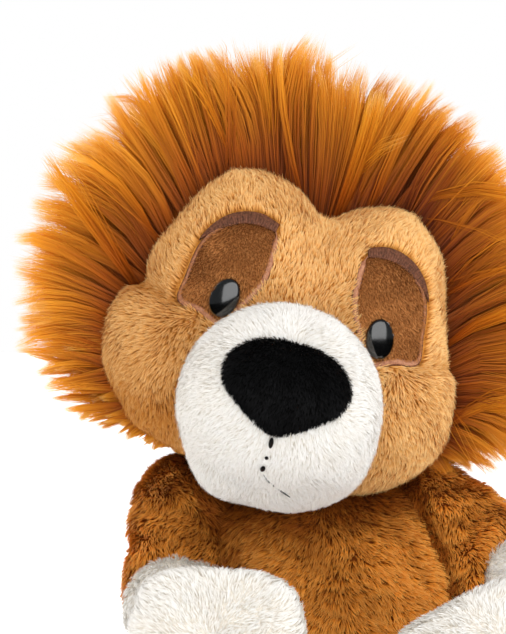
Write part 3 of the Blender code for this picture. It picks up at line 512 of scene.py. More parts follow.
def mottled(level, amount, size, seed):
    """Shade that varies by this amount about a level, in smooth spots of this size."""
    return lambda places: level + amount * ripple(places, size, seed)


def scatter(obj, per_mm2, seed, keep):
    """Seeded places spread evenly over an object's skin, with its normals there, where keep says so."""
    rng = np.random.default_rng(seed)
    places, normals = triangles_of(obj)
    cross = np.cross(places[:, 1] - places[:, 0], places[:, 2] - places[:, 0])
    area = np.linalg.norm(cross, axis=1) / 2
    count = int(area.sum() / MM**2 * per_mm2)
    chosen = np.searchsorted(np.cumsum(area), rng.uniform(0, area.sum(), count))
    chosen = np.minimum(chosen, len(area) - 1)
    a, b = rng.uniform(size=(2, count, 1))
    a, b = np.where(a + b > 1, 1 - a, a), np.where(a + b > 1, 1 - b, b)
    shares = (1 - a - b, a, b)
    roots = sum(share * places[chosen, i] for i, share in enumerate(shares))
    outward = unit(sum(share * normals[chosen, i] for i, share in enumerate(shares)))
    kept = keep(roots, outward)
    return roots[kept], outward[kept]


def ripples(places, size, seed):
    """Three rows of smooth noise, as a vector for each place."""
    return np.stack([ripple(places, size, seed + i) for i in range(3)], axis=-1)


def middles_of(groups, places):
    """Average place of the members of each group, for each member."""
    counts = np.bincount(groups)
    return np.stack([np.bincount(groups, places[:, i]) / counts for i in range(3)], axis=-1)[groups]


def gathered(places, size, seed):
    """Number of the tuft that each place belongs to: wavy cells of about this size."""
    warped = places + ripples(places, 3 * size, seed) * size / 2
    cells = np.floor(warped / size).astype(np.int64)
    key = np.bitwise_xor.reduce(cells * np.array(CELL_FACTORS), axis=1)
    return np.unique(key, return_inverse=True)[1]


def ribbons(name, spines, sides, widths, shades):
    """Tapered ribbons: each follows its spine, an array of points, from full width to one point at its tip.

    A real fibre is 0.02 to 0.05 mm thick, too fine to show, so each ribbon stands for several side by side.
    The map's first axis is the ribbon's shade and the second runs from root to tip.
    """
    count, steps = spines.shape[:2]
    taper = (1 - np.linspace(0, 1, steps)[:-1] ** 1.6)[None, :, None]
    half = sides[:, None, :] * widths[:, None, None] * taper / 2
    pairs = np.stack([spines[:, :-1] - half, spines[:, :-1] + half], axis=2).reshape(count, -1, 3)
    points = np.concatenate([pairs, spines[:, -1:]], axis=1)
    own = points.shape[1]
    start = (np.arange(count) * own)[:, None, None]
    step = 2 * np.arange(steps - 2)[:, None]
    quads = (start + step + np.array([0, 1, 3, 2])).reshape(-1, 4)
    tips = (start + np.array([[own - 3, own - 2, own - 1]])).reshape(-1, 3)
    mesh = mesh_of(name, points.reshape(-1, 3), quads, tips)
    column = np.floor(np.clip(shades, 0, 0.999) * SHADES)[:, None]
    across = np.concatenate([np.tile([0.08, 0.92], steps - 1), [0.5]])[None]
    along = np.concatenate([np.repeat(np.linspace(0, 1, steps)[:-1], 2), [1]])
    places = np.stack([(column + across) / SHADES, np.tile(along, (count, 1))], axis=-1).reshape(-1, 2)
    corners = np.concatenate([quads.ravel(), tips.ravel()])
    mesh.uv_layers.new(name=BAKE_MAP).data.foreach_set("uv", places[corners].astype(np.float32).ravel())
    return mesh


def pile(
    name, skin, look, body, slot, per_mm2, length, width, flow, shade, seed,
    keep=everywhere, tuft=1.6 * MM, draw=0.5, lean=0.9,
):
    """Short pile: blades that lean with the nap and bend over, with tips drawn together into small tufts.

    A blade rises by 1 - 0.3 s and runs along the nap by 0.45 + 0.55 s for each share s of its length.
    """
    roots, outward = scatter(skin, per_mm2, seed, keep)
    rng = np.random.default_rng(seed + 1)
    count = len(roots)
    nap = flow(roots)
    nap = unit(nap - outward * dot(nap, outward)[:, None])
    across = np.cross(outward, nap)
    swing = 0.35 * ripple(roots, 16 * MM, seed + 2) + 0.35 * rng.normal(size=count) * 0.5
    nap = nap * np.cos(swing)[:, None] + across * np.sin(swing)[:, None]
    own = gathered(roots, tuft, seed + 3)
    tufts = rng.normal(size=(own.max() + 1, 4))[own]
    leans = lean * (1 + 0.18 * tufts[:, 0]) + 0.12 * rng.normal(size=count)
    lengths = length * (1 + 0.12 * tufts[:, 1] + 0.1 * rng.normal(size=count)).clip(0.5, 1.4)
    along = np.linspace(0, 1, 3)[None, :, None]
    rise = np.cos(leans * 0.6)[:, None, None] * (along - 0.3 * along**2)
    run = np.sin(leans)[:, None, None] * (0.45 * along + 0.55 * along**2)
    spines = roots[:, None] + (outward[:, None] * rise + nap[:, None] * run) * lengths[:, None, None]
    spines += (middles_of(own, roots) - roots)[:, None] * draw * along**1.5
    spines[..., 2] = np.maximum(spines[..., 2], 0.2 * MM)
    sides = unit(np.cross(nap, outward) + 0.5 * rng.normal(size=(count, 1)) * outward)
    shades = shade(roots) + 0.1 * tufts[:, 2] + 0.08 * rng.normal(size=count)
    mesh = ribbons(name, spines, sides, width * rng.uniform(0.75, 1.25, count), shades)
    return place(mesh, look, body, slot)


# Materials


def linear(hex_colour):
    """Linear colour of an sRGB hex value."""
    values = [int(hex_colour[i : i + 2], 16) / 255 for i in (0, 2, 4)]
    return (*[v / 12.92 if v <= 0.04045 else ((v + 0.055) / 1.055) ** 2.4 for v in values], 1)


def add(tree, kind, links=(), **settings):
    """Adds a node with its settings and links: a setting named by a socket goes to that input."""
    node = tree.nodes.new(kind)
    for name, value in settings.items():
        if hasattr(node, name):
            setattr(node, name, value)
        else:
            node.inputs[name.replace("_", " ")].default_value = value
    for target, source in links:
        tree.links.new(source, node.inputs[target])
    return node


def blank(name):
    """Material with only its output node."""
    made = bpy.data.materials.new(name)
    made.use_nodes = True
    made.node_tree.nodes.clear()
    return made, made.node_tree


def ramp(tree, source, stops):
    """Colour ramp over places and hex colours."""
    node = add(tree, "ShaderNodeValToRGB", [("Fac", source)])
    elements = node.color_ramp.elements
    while len(elements) < len(stops):
        elements.new(0.5)
    for element, (at, colour) in zip(elements, stops):
        element.position = at
        element.color = linear(colour)
    return node.outputs["Color"]


def fibre(name, deep, bright, roughness=0.6, through=0.15):
    """Polyester fibre: two runs of colour from root to tip, for the darkest and the brightest fibres.

    Both runs are darker at the roots, partly the fibre's own colour and partly painted shade deep in the pile,
    and the mix between them carries painted light and shade as well as the fibres' own tone. Dyed polyester is
    slightly shiny, so each fibre gets a soft highlight along it, and a share of the light goes through it, so
    tips glow against the light.
    """
    made, tree = blank(name)
    spread = add(tree, "ShaderNodeUVMap", uv_map=BAKE_MAP)
    split = add(tree, "ShaderNodeSeparateXYZ", [("Vector", spread.outputs["UV"])])
    mix = add(tree, "ShaderNodeMix", data_type="RGBA")
    tree.links.new(split.outputs["X"], mix.inputs[0])
    tree.links.new(ramp(tree, split.outputs["Y"], deep), mix.inputs[6])
    tree.links.new(ramp(tree, split.outputs["Y"], bright), mix.inputs[7])
    shader = add(
        tree, "ShaderNodeBsdfPrincipled", [("Base Color", mix.outputs[2])],
        Roughness=roughness, Specular_IOR_Level=0.16,
    )
    glow = add(tree, "ShaderNodeBsdfTranslucent", [("Color", mix.outputs[2])])
    both = add(
        tree, "ShaderNodeMixShader", [(1, shader.outputs["BSDF"]), (2, glow.outputs["BSDF"])], Fac=through,
    )
    add(tree, "ShaderNodeOutputMaterial", [("Surface", both.outputs[0])])
    return made


def backing(name, dark, light, knit=0.9 * MM):
    """Knitted backing cloth under the pile, dyed with it: fine mottling at the size of its stitches."""
    made, tree = blank(name)
    where = add(tree, "ShaderNodeTexCoord")
    grain = add(tree, "ShaderNodeTexNoise", [("Vector", where.outputs["Object"])], Scale=1 / knit, Detail=3.0)
    colour = ramp(tree, grain.outputs["Fac"], ((0.3, dark), (0.7, light)))
    raised = add(
        tree, "ShaderNodeBump", [("Height", grain.outputs["Fac"])], Strength=0.6, Distance=0.4 * MM
    )
    shader = add(
        tree, "ShaderNodeBsdfPrincipled",
        [("Base Color", colour), ("Normal", raised.outputs["Normal"])],
        Roughness=0.95, Specular_IOR_Level=0.1,
    )
    add(tree, "ShaderNodeOutputMaterial", [("Surface", shader.outputs["BSDF"])])
    return made


def plain(name, hex_colour, roughness, **more):
    """Even finish whose colour varies a little at this scale, as dyed thread or moulded plastic does."""
    made, tree = blank(name)
    where = add(tree, "ShaderNodeTexCoord")
    grain = add(tree, "ShaderNodeTexNoise", [("Vector", where.outputs["Object"])], Scale=900.0, Detail=2.0)
    darker = more.pop("darker", hex_colour)
    colour = ramp(tree, grain.outputs["Fac"], ((0.3, darker), (0.7, hex_colour)))
    shader = add(tree, "ShaderNodeBsdfPrincipled", [("Base Color", colour)], Roughness=roughness, **more)
    add(tree, "ShaderNodeOutputMaterial", [("Surface", shader.outputs["BSDF"])])
    return made


LOOKS = {
    # Rayon embroidery thread: smooth filaments with a soft gleam along each stitch
    "edging": plain("satin_edging_thread", "C08866", 0.55, darker="986248", Specular_IOR_Level=0.3),
    "brow": plain("satin_brow_thread", "80503A", 0.6, darker="4C2E20", Specular_IOR_Level=0.25),
    "thread": plain("black_mouth_thread", "0A0A0A", 0.6, darker="040404"),
    # Moulded eye: polished black plastic with a sharp reflection
    "plastic": plain(
        "polished_black_plastic", "040404", 0.2, darker="030303",
        Specular_IOR_Level=0.9, Coat_Weight=1.0, Coat_Roughness=0.13, Coat_IOR=1.7,
    ),
    # Velour: sheared polyester knit, whose dense upright nap looks soft and matt
    "velour": backing("brown_velour_cloth", "78461F", "8E5A30", 0.6 * MM),
    "velour nap": fibre(
        "brown_velour_nap",
        ((0.0, "925828"), (0.5, "AC6A36"), (1.0, "BC7E46")),
        ((0.0, "A46430"), (0.5, "CE8848"), (1.0, "E8AA6A")),
        roughness=0.8,
    ),
    # Pressed fibre and woven cotton, which stay hidden: rough and even
    "washer": backing("pressed_fibre_washer", "3A3632", "4C4640", 0.5 * MM),
    "pouch": backing("woven_cotton_pouch", "D8D2C6", "EAE5DB", 0.8 * MM),
    # Knitted backing of the plush: matt, and darker than the pile that it carries, partly its dye and partly
    # painted shade at the foot of the pile
    "golden backing": backing("golden_backing_cloth", "BC7A2C", "D9974A"),
    "brown backing": backing("brown_backing_cloth", "5E2C0C", "7E4012"),
    "white backing": backing("white_backing_cloth", "E2DACD", "F2ECE2"),
    "black backing": backing("black_backing_cloth", "050505", "0B0B0B"),
    # Cut polyester pile: dark at the roots, partly its own colour and partly painted shade deep in the pile, and
    # pale and slightly shiny at the tips
    "golden pile": fibre(
        "golden_tan_plush",
        ((0.0, "985412"), (0.5, "C67C2E"), (1.0, "DA9A48")),
        ((0.0, "D48A30"), (0.5, "FCC270"), (1.0, "FFE2A4")),
    ),
    "brown pile": fibre(
        "tiger_brown_plush",
        ((0.0, "542408"), (0.5, "964C14"), (1.0, "B6681E")),
        ((0.0, "B8641A"), (0.5, "F49C32"), (1.0, "FFC464")),
    ),
    "white pile": fibre(
        "off_white_plush",
        ((0.0, "E6DFD4"), (0.5, "F4F0E9"), (1.0, "FBF8F3")),
        ((0.0, "F4F0E8"), (0.5, "FEFDFA"), (1.0, "FFFFFF")),
    ),
    "black pile": fibre(
        "black_plush",
        ((0.0, "020202"), (1.0, "0A0A0B")),
        ((0.0, "060606"), (1.0, "1E1E20")),
    ),
    # Long acrylic fur: glossier than the pile, golden at the tips and red-brown at the roots, darkest there
    # partly from its dye and partly from painted shade deep in the fur
    "mane hair": fibre(
        "long_pile_mane_fur",
        (
            (0.0, "34120A"), (0.15, "702C0C"), (0.45, "A44E12"),
            (0.75, "D07A14"), (0.92, "EEA42C"), (1.0, "FACC78"),
        ),
        (
            (0.0, "8C4212"), (0.15, "BE6216"), (0.45, "DC8A1C"),
            (0.75, "F6AC30"), (0.92, "FCCA6C"), (1.0, "FFE8BC"),
        ),
        roughness=0.5, through=0.22,
    ),
}


# Head


def crease_distance(u, v):
    """Distance of points from the crease between the cheek and the brow's swell, on either side."""
    (a, b), (c, d) = CREASE
    out = np.abs(u)
    along = np.clip(((out - a) * (c - a) + (v - b) * (d - b)) / ((c - a) ** 2 + (d - b) ** 2), 0, 1)
    return np.hypot(out - a - along * (c - a), v - b - along * (d - b))


def build_face():
    """The face: a closed skin whose front is the superellipse with puffs, and whose back is a shallow dish.

    The crease above each cheek is a groove whose depth is a bell curve over the distance from its line.
    """
    angles = np.linspace(0, 2 * math.pi, 160, endpoint=False)
    turns = np.linspace(0, math.pi / 2, 44)[1:]
    share = np.sin(turns)[:, None] ** (2 / FACE_FULLNESS)
    radius = outline_radius(FACE_OUTLINE_SHARES, FACE_HALF_WIDTH, angles) * share
    u, v = radius * np.sin(angles), radius * np.cos(angles)
    groove = CREASE_DEPTH * np.exp(-((crease_distance(u, v) / CREASE_SPREAD) ** 2) / 2)
    level = face_front(u, v)
    front = to_world(u, np.maximum(level - groove, np.minimum(level, 0.2 * MM)), v)
    shrink = np.array([0.9, 0.6])[:, None]
    back = to_world(u[-1] * shrink, -SKIN_INSET, v[-1] * shrink)
    mesh = ring_skin("face_plush", np.concatenate([front, back]))
    skin = place(mesh, LOOKS["golden backing"], "head", "golden_plush", "face_skin", "head_filling")

    def keep(places, normals):
        u, w, v = to_head(places)
        on_muzzle = np.hypot(u, v + MUZZLE_DROP) < muzzle_radius(u, v) - 2 * MM
        return (w > 0.3 * MM) & ~on_muzzle & off_patch(u, v, 1.4 * MM) & ~on_brow(u, v, -0.5 * MM)

    def flow(places):
        u, _, v = to_head(places)
        cheek = smooth_step(14 * MM, 9 * MM, v) * smooth_step(26 * MM, 40 * MM, np.abs(u))
        low = smooth_step(5 * MM, -25 * MM, v) * 40 * MM
        across = u * (1 - cheek) + (u - np.sign(u) * 40 * MM) * 1.6 * cheek
        up = (v + 8 * MM) * (1 - cheek) + (v - 11 * MM) * 1.6 * cheek
        return turn_world(across, 0 * u, up) - np.array([0, 0, 1]) * (low * (1 - cheek))[:, None]

    def shade(places):
        # Painted light and shade: the pile is lighter higher up and towards the lion's left, and darker near the
        # seam with the mane, in the crease, around the muzzle's edge, on the lower cheek and across the lion's
        # right side
        u, w, v = to_head(places)
        seam = smooth_step(12 * MM, 0, w)
        high = smooth_step(-20 * MM, 60 * MM, v)
        crease_shade = smooth_step(3.5 * MM, 0, crease_distance(u, v))
        beside = smooth_step(11 * MM, 2 * MM, np.abs(np.hypot(u, v + MUZZLE_DROP) - muzzle_radius(u, v)))
        jowl_shade = smooth_step(-8 * MM, -42 * MM, v) * smooth_step(-15 * MM, -45 * MM, u)
        even = 0.68 + 0.12 * smooth_step(-20 * MM, 40 * MM, u) + 0.15 * high
        even += 0.12 * ripple(places, 30 * MM, 5)
        left = smooth_step(-15 * MM, -60 * MM, u)
        between = np.exp(-((u / (15 * MM)) ** 2) - ((v - 14 * MM) / (18 * MM)) ** 2)
        return even - 0.15 * seam - 0.35 * crease_shade - 0.1 * beside - 0.6 * jowl_shade - 0.2 * left + 0.3 * between

    pile(
        "face_pile", skin, LOOKS["golden pile"], "head", "golden_plush", 3.0, 3.9 * MM, 0.64 * MM,
        flow, shade, 11, keep=keep, tuft=1.5 * MM, draw=0.6,
    )
    return skin


def patch_points(shares):
    """Points (u, v) on the lion's left half of the face, from shares of the eye patch's half size."""
    return np.array(PATCH_MIDDLE) + np.array(PATCH_HALF_SIZE) * np.array(shares)[:, :2]


def brow_line(count):
    """Points (u, v, half width) along the brow on the lion's left half of the face."""
    half = np.array(BROW_LINE_SHARES)[:, 2:] * BROW_WIDTH / 2
    return open_curve(np.concatenate([patch_points(BROW_LINE_SHARES), half], axis=1), count)


def off_patch(u, v, margin):
    """Whether points lie outside both eye patches by this margin: crossings of the outline tell the inside."""
    ring = patch_points(PATCH_OUTLINE_SHARES)
    inside = np.zeros(np.shape(u), bool)
    out = np.abs(u)
    for (a, b), (c, d) in zip(ring, np.roll(ring, -1, axis=0)):
        crossing = (b > v) != (d > v)
        inside ^= crossing & (out < (c - a) * (v - b) / (d - b + 1e-12) + a)
    near = np.zeros(np.shape(u), bool)
    for a, b in closed_curve(ring, 120):
        near |= (out - a) ** 2 + (v - b) ** 2 < margin**2
    return ~inside & ~near


def on_brow(u, v, margin):
    """Whether points lie within this margin of a brow's band."""
    near = np.zeros(np.shape(u), bool)
    for out, up, wide in brow_line(40):
        near |= (np.abs(u) - out) ** 2 + (v - up) ** 2 < (wide + margin) ** 2
    return near


def build_muzzle():
    """The muzzle: a closed padded dome, from its middle to its seam and then into the head."""
    angles = np.linspace(0, 2 * math.pi, 72, endpoint=False)
    turns = np.linspace(0, math.pi / 2, 26)[1:]
    share = np.sin(turns)[:, None]
    radius = outline_radius(MUZZLE_OUTLINE_SHARES, MUZZLE_RADIUS, angles) * share
    u, v = radius * np.sin(angles), radius * np.cos(angles) - MUZZLE_DROP
    front = to_world(u, muzzle_front(u, v), v)
    shrink = np.array([0.97, 0.6])[:, None]
    back_u, back_v = u[-1] * shrink, (v[-1] + MUZZLE_DROP) * shrink - MUZZLE_DROP
    back = to_world(back_u, face_front(back_u, back_v) + 0.4 * MM, back_v)
    mesh = ring_skin("muzzle_plush", np.concatenate([front, back]))
    skin = place(mesh, LOOKS["white backing"], "head", "white_plush", "muzzle")

    def keep(places, normals):
        u, w, v = to_head(places)
        on_nose = np.hypot(u, v + NOSE_DROP) < nose_radius(u, v) - 1 * MM
        return ~on_nose & (w > face_front(u, v) + 1 * MM)

    def flow(places):
        u, _, v = to_head(places)
        return turn_world(u, 0 * u, v + NOSE_DROP) - np.array([0, 0, 1]) * 6 * MM

    def shade(places):
        # Painted shade: the muzzle is darker towards the lion's right
        left = smooth_step(-8 * MM, -36 * MM, to_head(places)[0])
        return 0.64 - 0.45 * left + 0.1 * ripple(places, 14 * MM, 8)

    pile(
        "muzzle_pile", skin, LOOKS["white pile"], "head", "white_plush", 4.0, 2.9 * MM, 0.45 * MM,
        flow, shade, 21, keep=keep, tuft=1.4 * MM, draw=0.3,
    )


def nose_radius(u, v):
    """Radius of the nose's outline in the direction of points about its middle."""
    return outline_radius(NOSE_OUTLINE_SHARES, NOSE_HALF_WIDTH, np.arctan2(u, v + NOSE_DROP))


def build_nose():
    """The nose: a padded rounded triangle that follows the muzzle, proud in its middle."""
    angles = np.linspace(0, 2 * math.pi, 60, endpoint=False)
    radius = outline_radius(NOSE_OUTLINE_SHARES, NOSE_HALF_WIDTH, angles)
    share = np.sin(np.linspace(0, math.pi / 2, 16)[1:])[:, None]
    u, v = radius * share * np.sin(angles), radius * share * np.cos(angles) - NOSE_DROP
    front = to_world(u, muzzle_front(u, v) + NOSE_LIFT + NOSE_PROUD * np.sqrt(1 - share**2), v)
    back_u, back_v = u[-1:] * 0.97, (v[-1:] + NOSE_DROP) * 0.97 - NOSE_DROP
    back = to_world(back_u, muzzle_front(back_u, back_v), back_v)
    mesh = ring_skin("nose_plush", np.concatenate([front, back]))
    skin = place(mesh, LOOKS["black backing"], "head", "black_plush", "nose")

    def flow(places):
        u = to_head(places)[0]
        return turn_world(u * 0.4, 0 * u, 0 * u - 20 * MM)

    pile(
        "nose_pile", skin, LOOKS["black pile"], "head", "black_plush", 4.5, 2.0 * MM, 0.46 * MM,
        flow, mottled(0.4, 0.2, 9 * MM, 3), 31, tuft=1.2 * MM,
    )


def hair_lengths(roots, ahead, share, least):
    """Lengths at which hairs reach this share of the mane's space, found by halving the range of lengths."""
    low, high = least, np.full(len(roots), MANE_HAIR[1])
    for _ in range(12):
        length = (low + high) / 2
        over = mane_excess(roots + ahead * length[:, None]) > share
        low, high = np.where(over, low, length), np.where(over, length, high)
    return length


def mane_hair(side, name, part, rng):
    """Strands of one part of half a mane: they lean back more, and fall more, the further behind they root.

    A strand is a parabola from its root. Its tip is then drawn towards the middles of its bunch and its lock, by
    the power 2.2 of the share of its length, so that locks end in a point.
    """
    count, (first, last), rows, widening, seed = MANE_PARTS[part]
    a = side * rng.uniform(0, math.pi, count)
    t = first + (last - first) * rng.uniform(0, 1, count) ** 0.8
    u, w, v = back_points(math.pi / 2 + t, a)
    roots = to_world(u, np.minimum(w, -1 * MM), v)
    lock = gathered(roots, 3.6 * MM, seed)
    bunch = gathered(roots, 10 * MM, seed + 5)
    locks = rng.normal(size=(lock.max() + 1, 6))[lock]
    loose = (rng.uniform(size=lock.max() + 1) < 0.15)[lock]
    wild = loose * 0.26 + (rng.uniform(size=count) < 0.05) * 0.13
    # Below the cheeks the locks are short and uneven
    ragged = smooth_step(1.45, 2.0, np.abs(a))

    lean = (-0.25 * outline_radius(MANE_FORWARD_SHARES, 1, a) + t * 1.15)[:, None]
    fan = a.copy()
    for notch in np.radians(MANE_FANS):
        fan += 0.9 * (a - notch) * np.exp(-(((a - notch) / 0.28) ** 2))
    radial = turn_world(np.sin(fan), 0 * a, np.cos(fan))
    back = smooth_step(0.15, 1.1, t)[:, None]
    down = np.array([0, 0, -1])
    ahead = unit(radial * np.cos(lean) + np.array([0, 1, 0]) * np.sin(lean) + down * 0.75 * back)
    sway = ripples(roots, 26 * MM, seed + 2)
    jitter = (0.03 + wild + 0.14 * ragged)[:, None] * locks[:, :3] + 0.02 * rng.normal(size=(count, 3))
    ahead = unit(ahead + 0.11 * sway + jitter)

    least = MANE_HAIR[0] * (1 - 0.6 * smooth_step(2.2, 2.5, np.abs(a)))
    length = hair_lengths(roots, ahead, outline_radius(MANE_TIP_SHARES, 1, fan), least)
    uneven = (0.08 + 0.32 * ragged) * locks[:, 3].clip(-1.5, 1.2)
    length *= 1.1 + uneven - 0.1 * np.abs(rng.normal(size=count))
    if part != "front":
        length *= 1 - 0.22 * ragged
    length = np.maximum(length, least)

    drop = 0.45 * smooth_step(2.2, 1.5, np.abs(a))[:, None]
    along = np.linspace(0, 1, rows)[None, :, None]
    bend = (0.1 * locks[:, 3:6] + drop * down + 0.15 * sway)[:, None]
    spines = roots[:, None] + (ahead[:, None] * along + bend * (along**2 - along)) * length[:, None, None]
    for group, most in ((bunch, 0.14), (lock, 0.7 + 0.25 * ragged)):
        pull = middles_of(group, spines[:, -1]) - spines[:, -1]
        spines += pull[:, None] * (most * rng.beta(3, 1.6, count))[:, None, None] * along**2.2

    view = unit(np.array([0, -1, 0]) * (1.2 - back) + ahead * 0.3 + 0.25 * rng.normal(size=(count, 3)))
    shade = 0.4 + 0.08 * locks[:, 4] + 0.16 * rng.normal(size=count) + 0.12 * ripple(roots, 20 * MM, 9)
    # Painted light: the half of the mane on the lion's right is lighter, most towards its side
    shade += 0.3 * loose + 0.2 * np.abs(np.sin(a)) - 0.22 * np.sin(a)
    wide = rng.uniform(0.26, 0.52, count) * widening * MM
    hair = ribbons(f"{name}_mane_{part}_hair", spines, unit(np.cross(ahead, view)), wide, shade)
    place(hair, LOOKS["mane hair"], "head", "mane_fur")


def build_mane(side, name):
    """One half of the mane: the hood's cloth over the back of the head, and the hair on it."""
    rng = np.random.default_rng(40 + side)
    angles = side * np.linspace(0, math.pi, 49)
    turns = np.linspace(math.pi / 2, math.pi, 25)[:, None]
    u, w, v = back_points(turns, angles, 1 * MM)
    outer = to_world(side * np.maximum(side * u, 0.3 * MM), w - 1.5 * MM, v)
    inner = to_world(side * np.maximum(side * u * 0.9, 0.3 * MM), w * 0.9 - 1.5 * MM, v * 0.9)
    mesh = slab_skin(f"{name}_mane_cloth", outer, inner)
    place(mesh, LOOKS["brown backing"], "head", "mane_fur", f"{name}_mane")
    for part in MANE_PARTS:
        mane_hair(side, name, part, rng)


# Eye patches, brows, eyes and mouth


def closed_curve(points, count):
    """Smooth closed curve through a ring of points: a Catmull-Rom spline."""
    places = np.arange(count) * len(points) / count
    i, t = places.astype(int), (places % 1)[:, None]
    a, b, c, d = (points[(i + k) % len(points)] for k in (-1, 0, 1, 2))
    return b + t * ((c - a) + t * ((2 * a - 5 * b + 4 * c - d) + t * (3 * (b - c) + d - a))) / 2


def open_curve(points, count):
    """Smooth open curve through a row of points: a Catmull-Rom spline."""
    ends = [2 * points[0] - points[1]], [2 * points[-1] - points[-2]]
    row = np.concatenate([ends[0], points, ends[1]])
    places = np.linspace(0, len(points) - 1, count)
    i = np.minimum(places.astype(int), len(points) - 2)
    t = (places - i)[:, None]
    a, b, c, d = (row[i + k] for k in range(4))
    return b + t * ((c - a) + t * ((2 * a - 5 * b + 4 * c - d) + t * (3 * (b - c) + d - a))) / 2


def on_face(u, v, side, proud):
    """World points lying proud of the face's cloth, mirrored to the side."""
    return to_world(side * u, face_front(side * u, v) + proud, v)


def satin(name, line, half, side, seat, height, pitch, closed):
    """Satin stitches across a line on the face: a half-round band with one ridge for each stitch.

    The ridge is the size of a sine of the distance along the line, with the stitches' pitch, to the power 0.7.
    """
    step = np.roll(line, -1, axis=0) - np.roll(line, 1, axis=0) if closed else np.gradient(line, axis=0)
    across = unit(np.stack([-step[:, 1], step[:, 0]], axis=-1))
    run = np.cumsum(np.linalg.norm(np.diff(line, axis=0, prepend=line[:1]), axis=1))
    ridge = 0.78 + 0.4 * np.abs(np.sin(math.pi * run / pitch)) ** 0.7
    turns = np.linspace(0, math.pi, 9)
    shift = np.cos(turns) * half[:, None]
    rise = seat + height * np.sin(turns) ** 0.7 * ridge[:, None]
    rise[:, [0, -1]] = -0.5 * MM
    u = line[:, :1] + across[:, :1] * shift
    v = line[:, 1:] + across[:, 1:] * shift
    rows = on_face(u, v, side, rise)
    if not closed:
        return ring_skin(name, rows)
    rows = np.concatenate([rows, rows[:1]])
    quads = wrapped_grid(*rows.shape[:2])[2]
    return face_outwards(mesh_of(name, rows.reshape(-1, 3), quads))


def build_patch(side, name):
    """Eye patch: a low cushion of velour, its nap, and the satin edging with a darker border under it."""
    ring = closed_curve(patch_points(PATCH_OUTLINE_SHARES), 120)
    spread = np.array([0.12, 0.3, 0.5, 0.7, 0.85, 0.94, 0.985, 1.0, 1.0])[:, None, None]
    line = np.array(PATCH_MIDDLE) + (ring - PATCH_MIDDLE) * spread
    proud = 1.4 * MM * np.sqrt(1 - np.clip(spread[:, :, 0], 0, 1) ** 14)
    proud[-2:, 0] = 0.3 * MM, -0.6 * MM
    mesh = ring_skin(f"{name}_patch_velour", on_face(line[..., 0], line[..., 1], side, proud))
    patch = place(mesh, LOOKS["velour"], "head", "brown_velour", f"{name}_eye_patch")
    pile(
        f"{name}_patch_nap", patch, LOOKS["velour nap"], "head", "brown_velour", 7.0, 1.7 * MM, 0.34 * MM,
        steady((0.0, 0.0, -1.0)), mottled(0.5, 0.2, 9 * MM, 6), 70 + side,
        keep=lambda places, normals: normals[:, 1] < -0.2, tuft=0.9 * MM, draw=0.3, lean=0.7,
    )
    edge = closed_curve(patch_points(PATCH_OUTLINE_SHARES), 700)
    out, up = ((edge - PATCH_MIDDLE) / PATCH_HALF_SIZE).T
    outer, low, top = smooth_step(0.2, 0.9, out), smooth_step(-0.5, -0.8, up), smooth_step(0.86, 0.98, up)
    half = (1.15 - 0.6 * outer * (1 - low)) * (1 - 0.8 * top) * MM
    border_half = half + 0.5 * (1 - top) * MM
    for piece, look, width, height in (
        ("edging", "edging", half, 0.9 * MM), ("border", "brow", border_half, 0.35 * MM),
    ):
        band = satin(f"{name}_patch_{piece}", edge, width, side, 0.9 * MM, height, 0.8 * MM, True)
        place(band, LOOKS[look], "head", "brown_velour")


def build_brow(side, name):
    """Brow: a satin-stitched band above the patch."""
    line = brow_line(420)
    brow = satin(
        f"{name}_brow_stitches", line[:, :2], line[:, 2], side, 1.1 * MM, 1.3 * MM, 1.05 * MM, False
    )
    place(brow, LOOKS["brow"], "head", "brow_stitches", f"{name}_brow")


def build_eye(side, name):
    """Eye: an oval dome, a cosine over the sine of one angle, set on the patch at part of the face's slope."""
    turns = np.linspace(0, 2 * math.pi, 48, endpoint=False)
    dome = np.linspace(0, math.pi / 2, 16)[1:, None]
    share = np.concatenate([np.sin(dome), [[1.0], [0.8]]])
    rise = np.concatenate([EYE_RIM + EYE_PROUD * np.cos(dome), [[0.0], [-1 * MM]]])
    across, along = EYE_HALF_SIZE[0] * share * np.sin(turns), EYE_HALF_SIZE[1] * share * np.cos(turns)
    u = EYE_MIDDLE[0] + across * math.cos(EYE_LEAN) + along * math.sin(EYE_LEAN)
    v = EYE_MIDDLE[1] - across * math.sin(EYE_LEAN) + along * math.cos(EYE_LEAN)
    slope = EYE_TILT * (face_front(side * EYE_MIDDLE[0], EYE_MIDDLE[1]) - face_front(side * u, v))
    eye = ring_skin(f"{name}_eye_dome", on_face(u, v, side, EYE_SEAT + rise + slope))
    place(eye, LOOKS["plastic"], "head", "black_plastic", f"{name}_eye")


def build_mouth():
    """The mouth: three black stitches down from the nose, and a fine thread that curves off below them."""
    ends = 0.12
    for i, (points, radius, lift) in enumerate(MOUTH_STITCHES):
        line = open_curve(np.array(points) * MM, 17)
        size = radius * MM * np.sin(np.linspace(ends, math.pi - ends, 17)) ** 0.5
        turns = np.linspace(0, 2 * math.pi, 10, endpoint=False)
        across = unit(np.gradient(line, axis=0))[:, ::-1] * (-1, 1)
        u, v = (line[:, k, None] + across[:, k, None] * size[:, None] * np.cos(turns) for k in (0, 1))
        level = muzzle_front(line[:, :1], line[:, 1:]) + lift * MM
        ring = to_world(u, level + size[:, None] * np.sin(turns), v)
        thread = place(ring_skin(f"mouth_stitch_{i}", ring), LOOKS["thread"], "head", "black_plush")
        if i == 0:
            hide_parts("mouth_thread")


# Torso and limbs


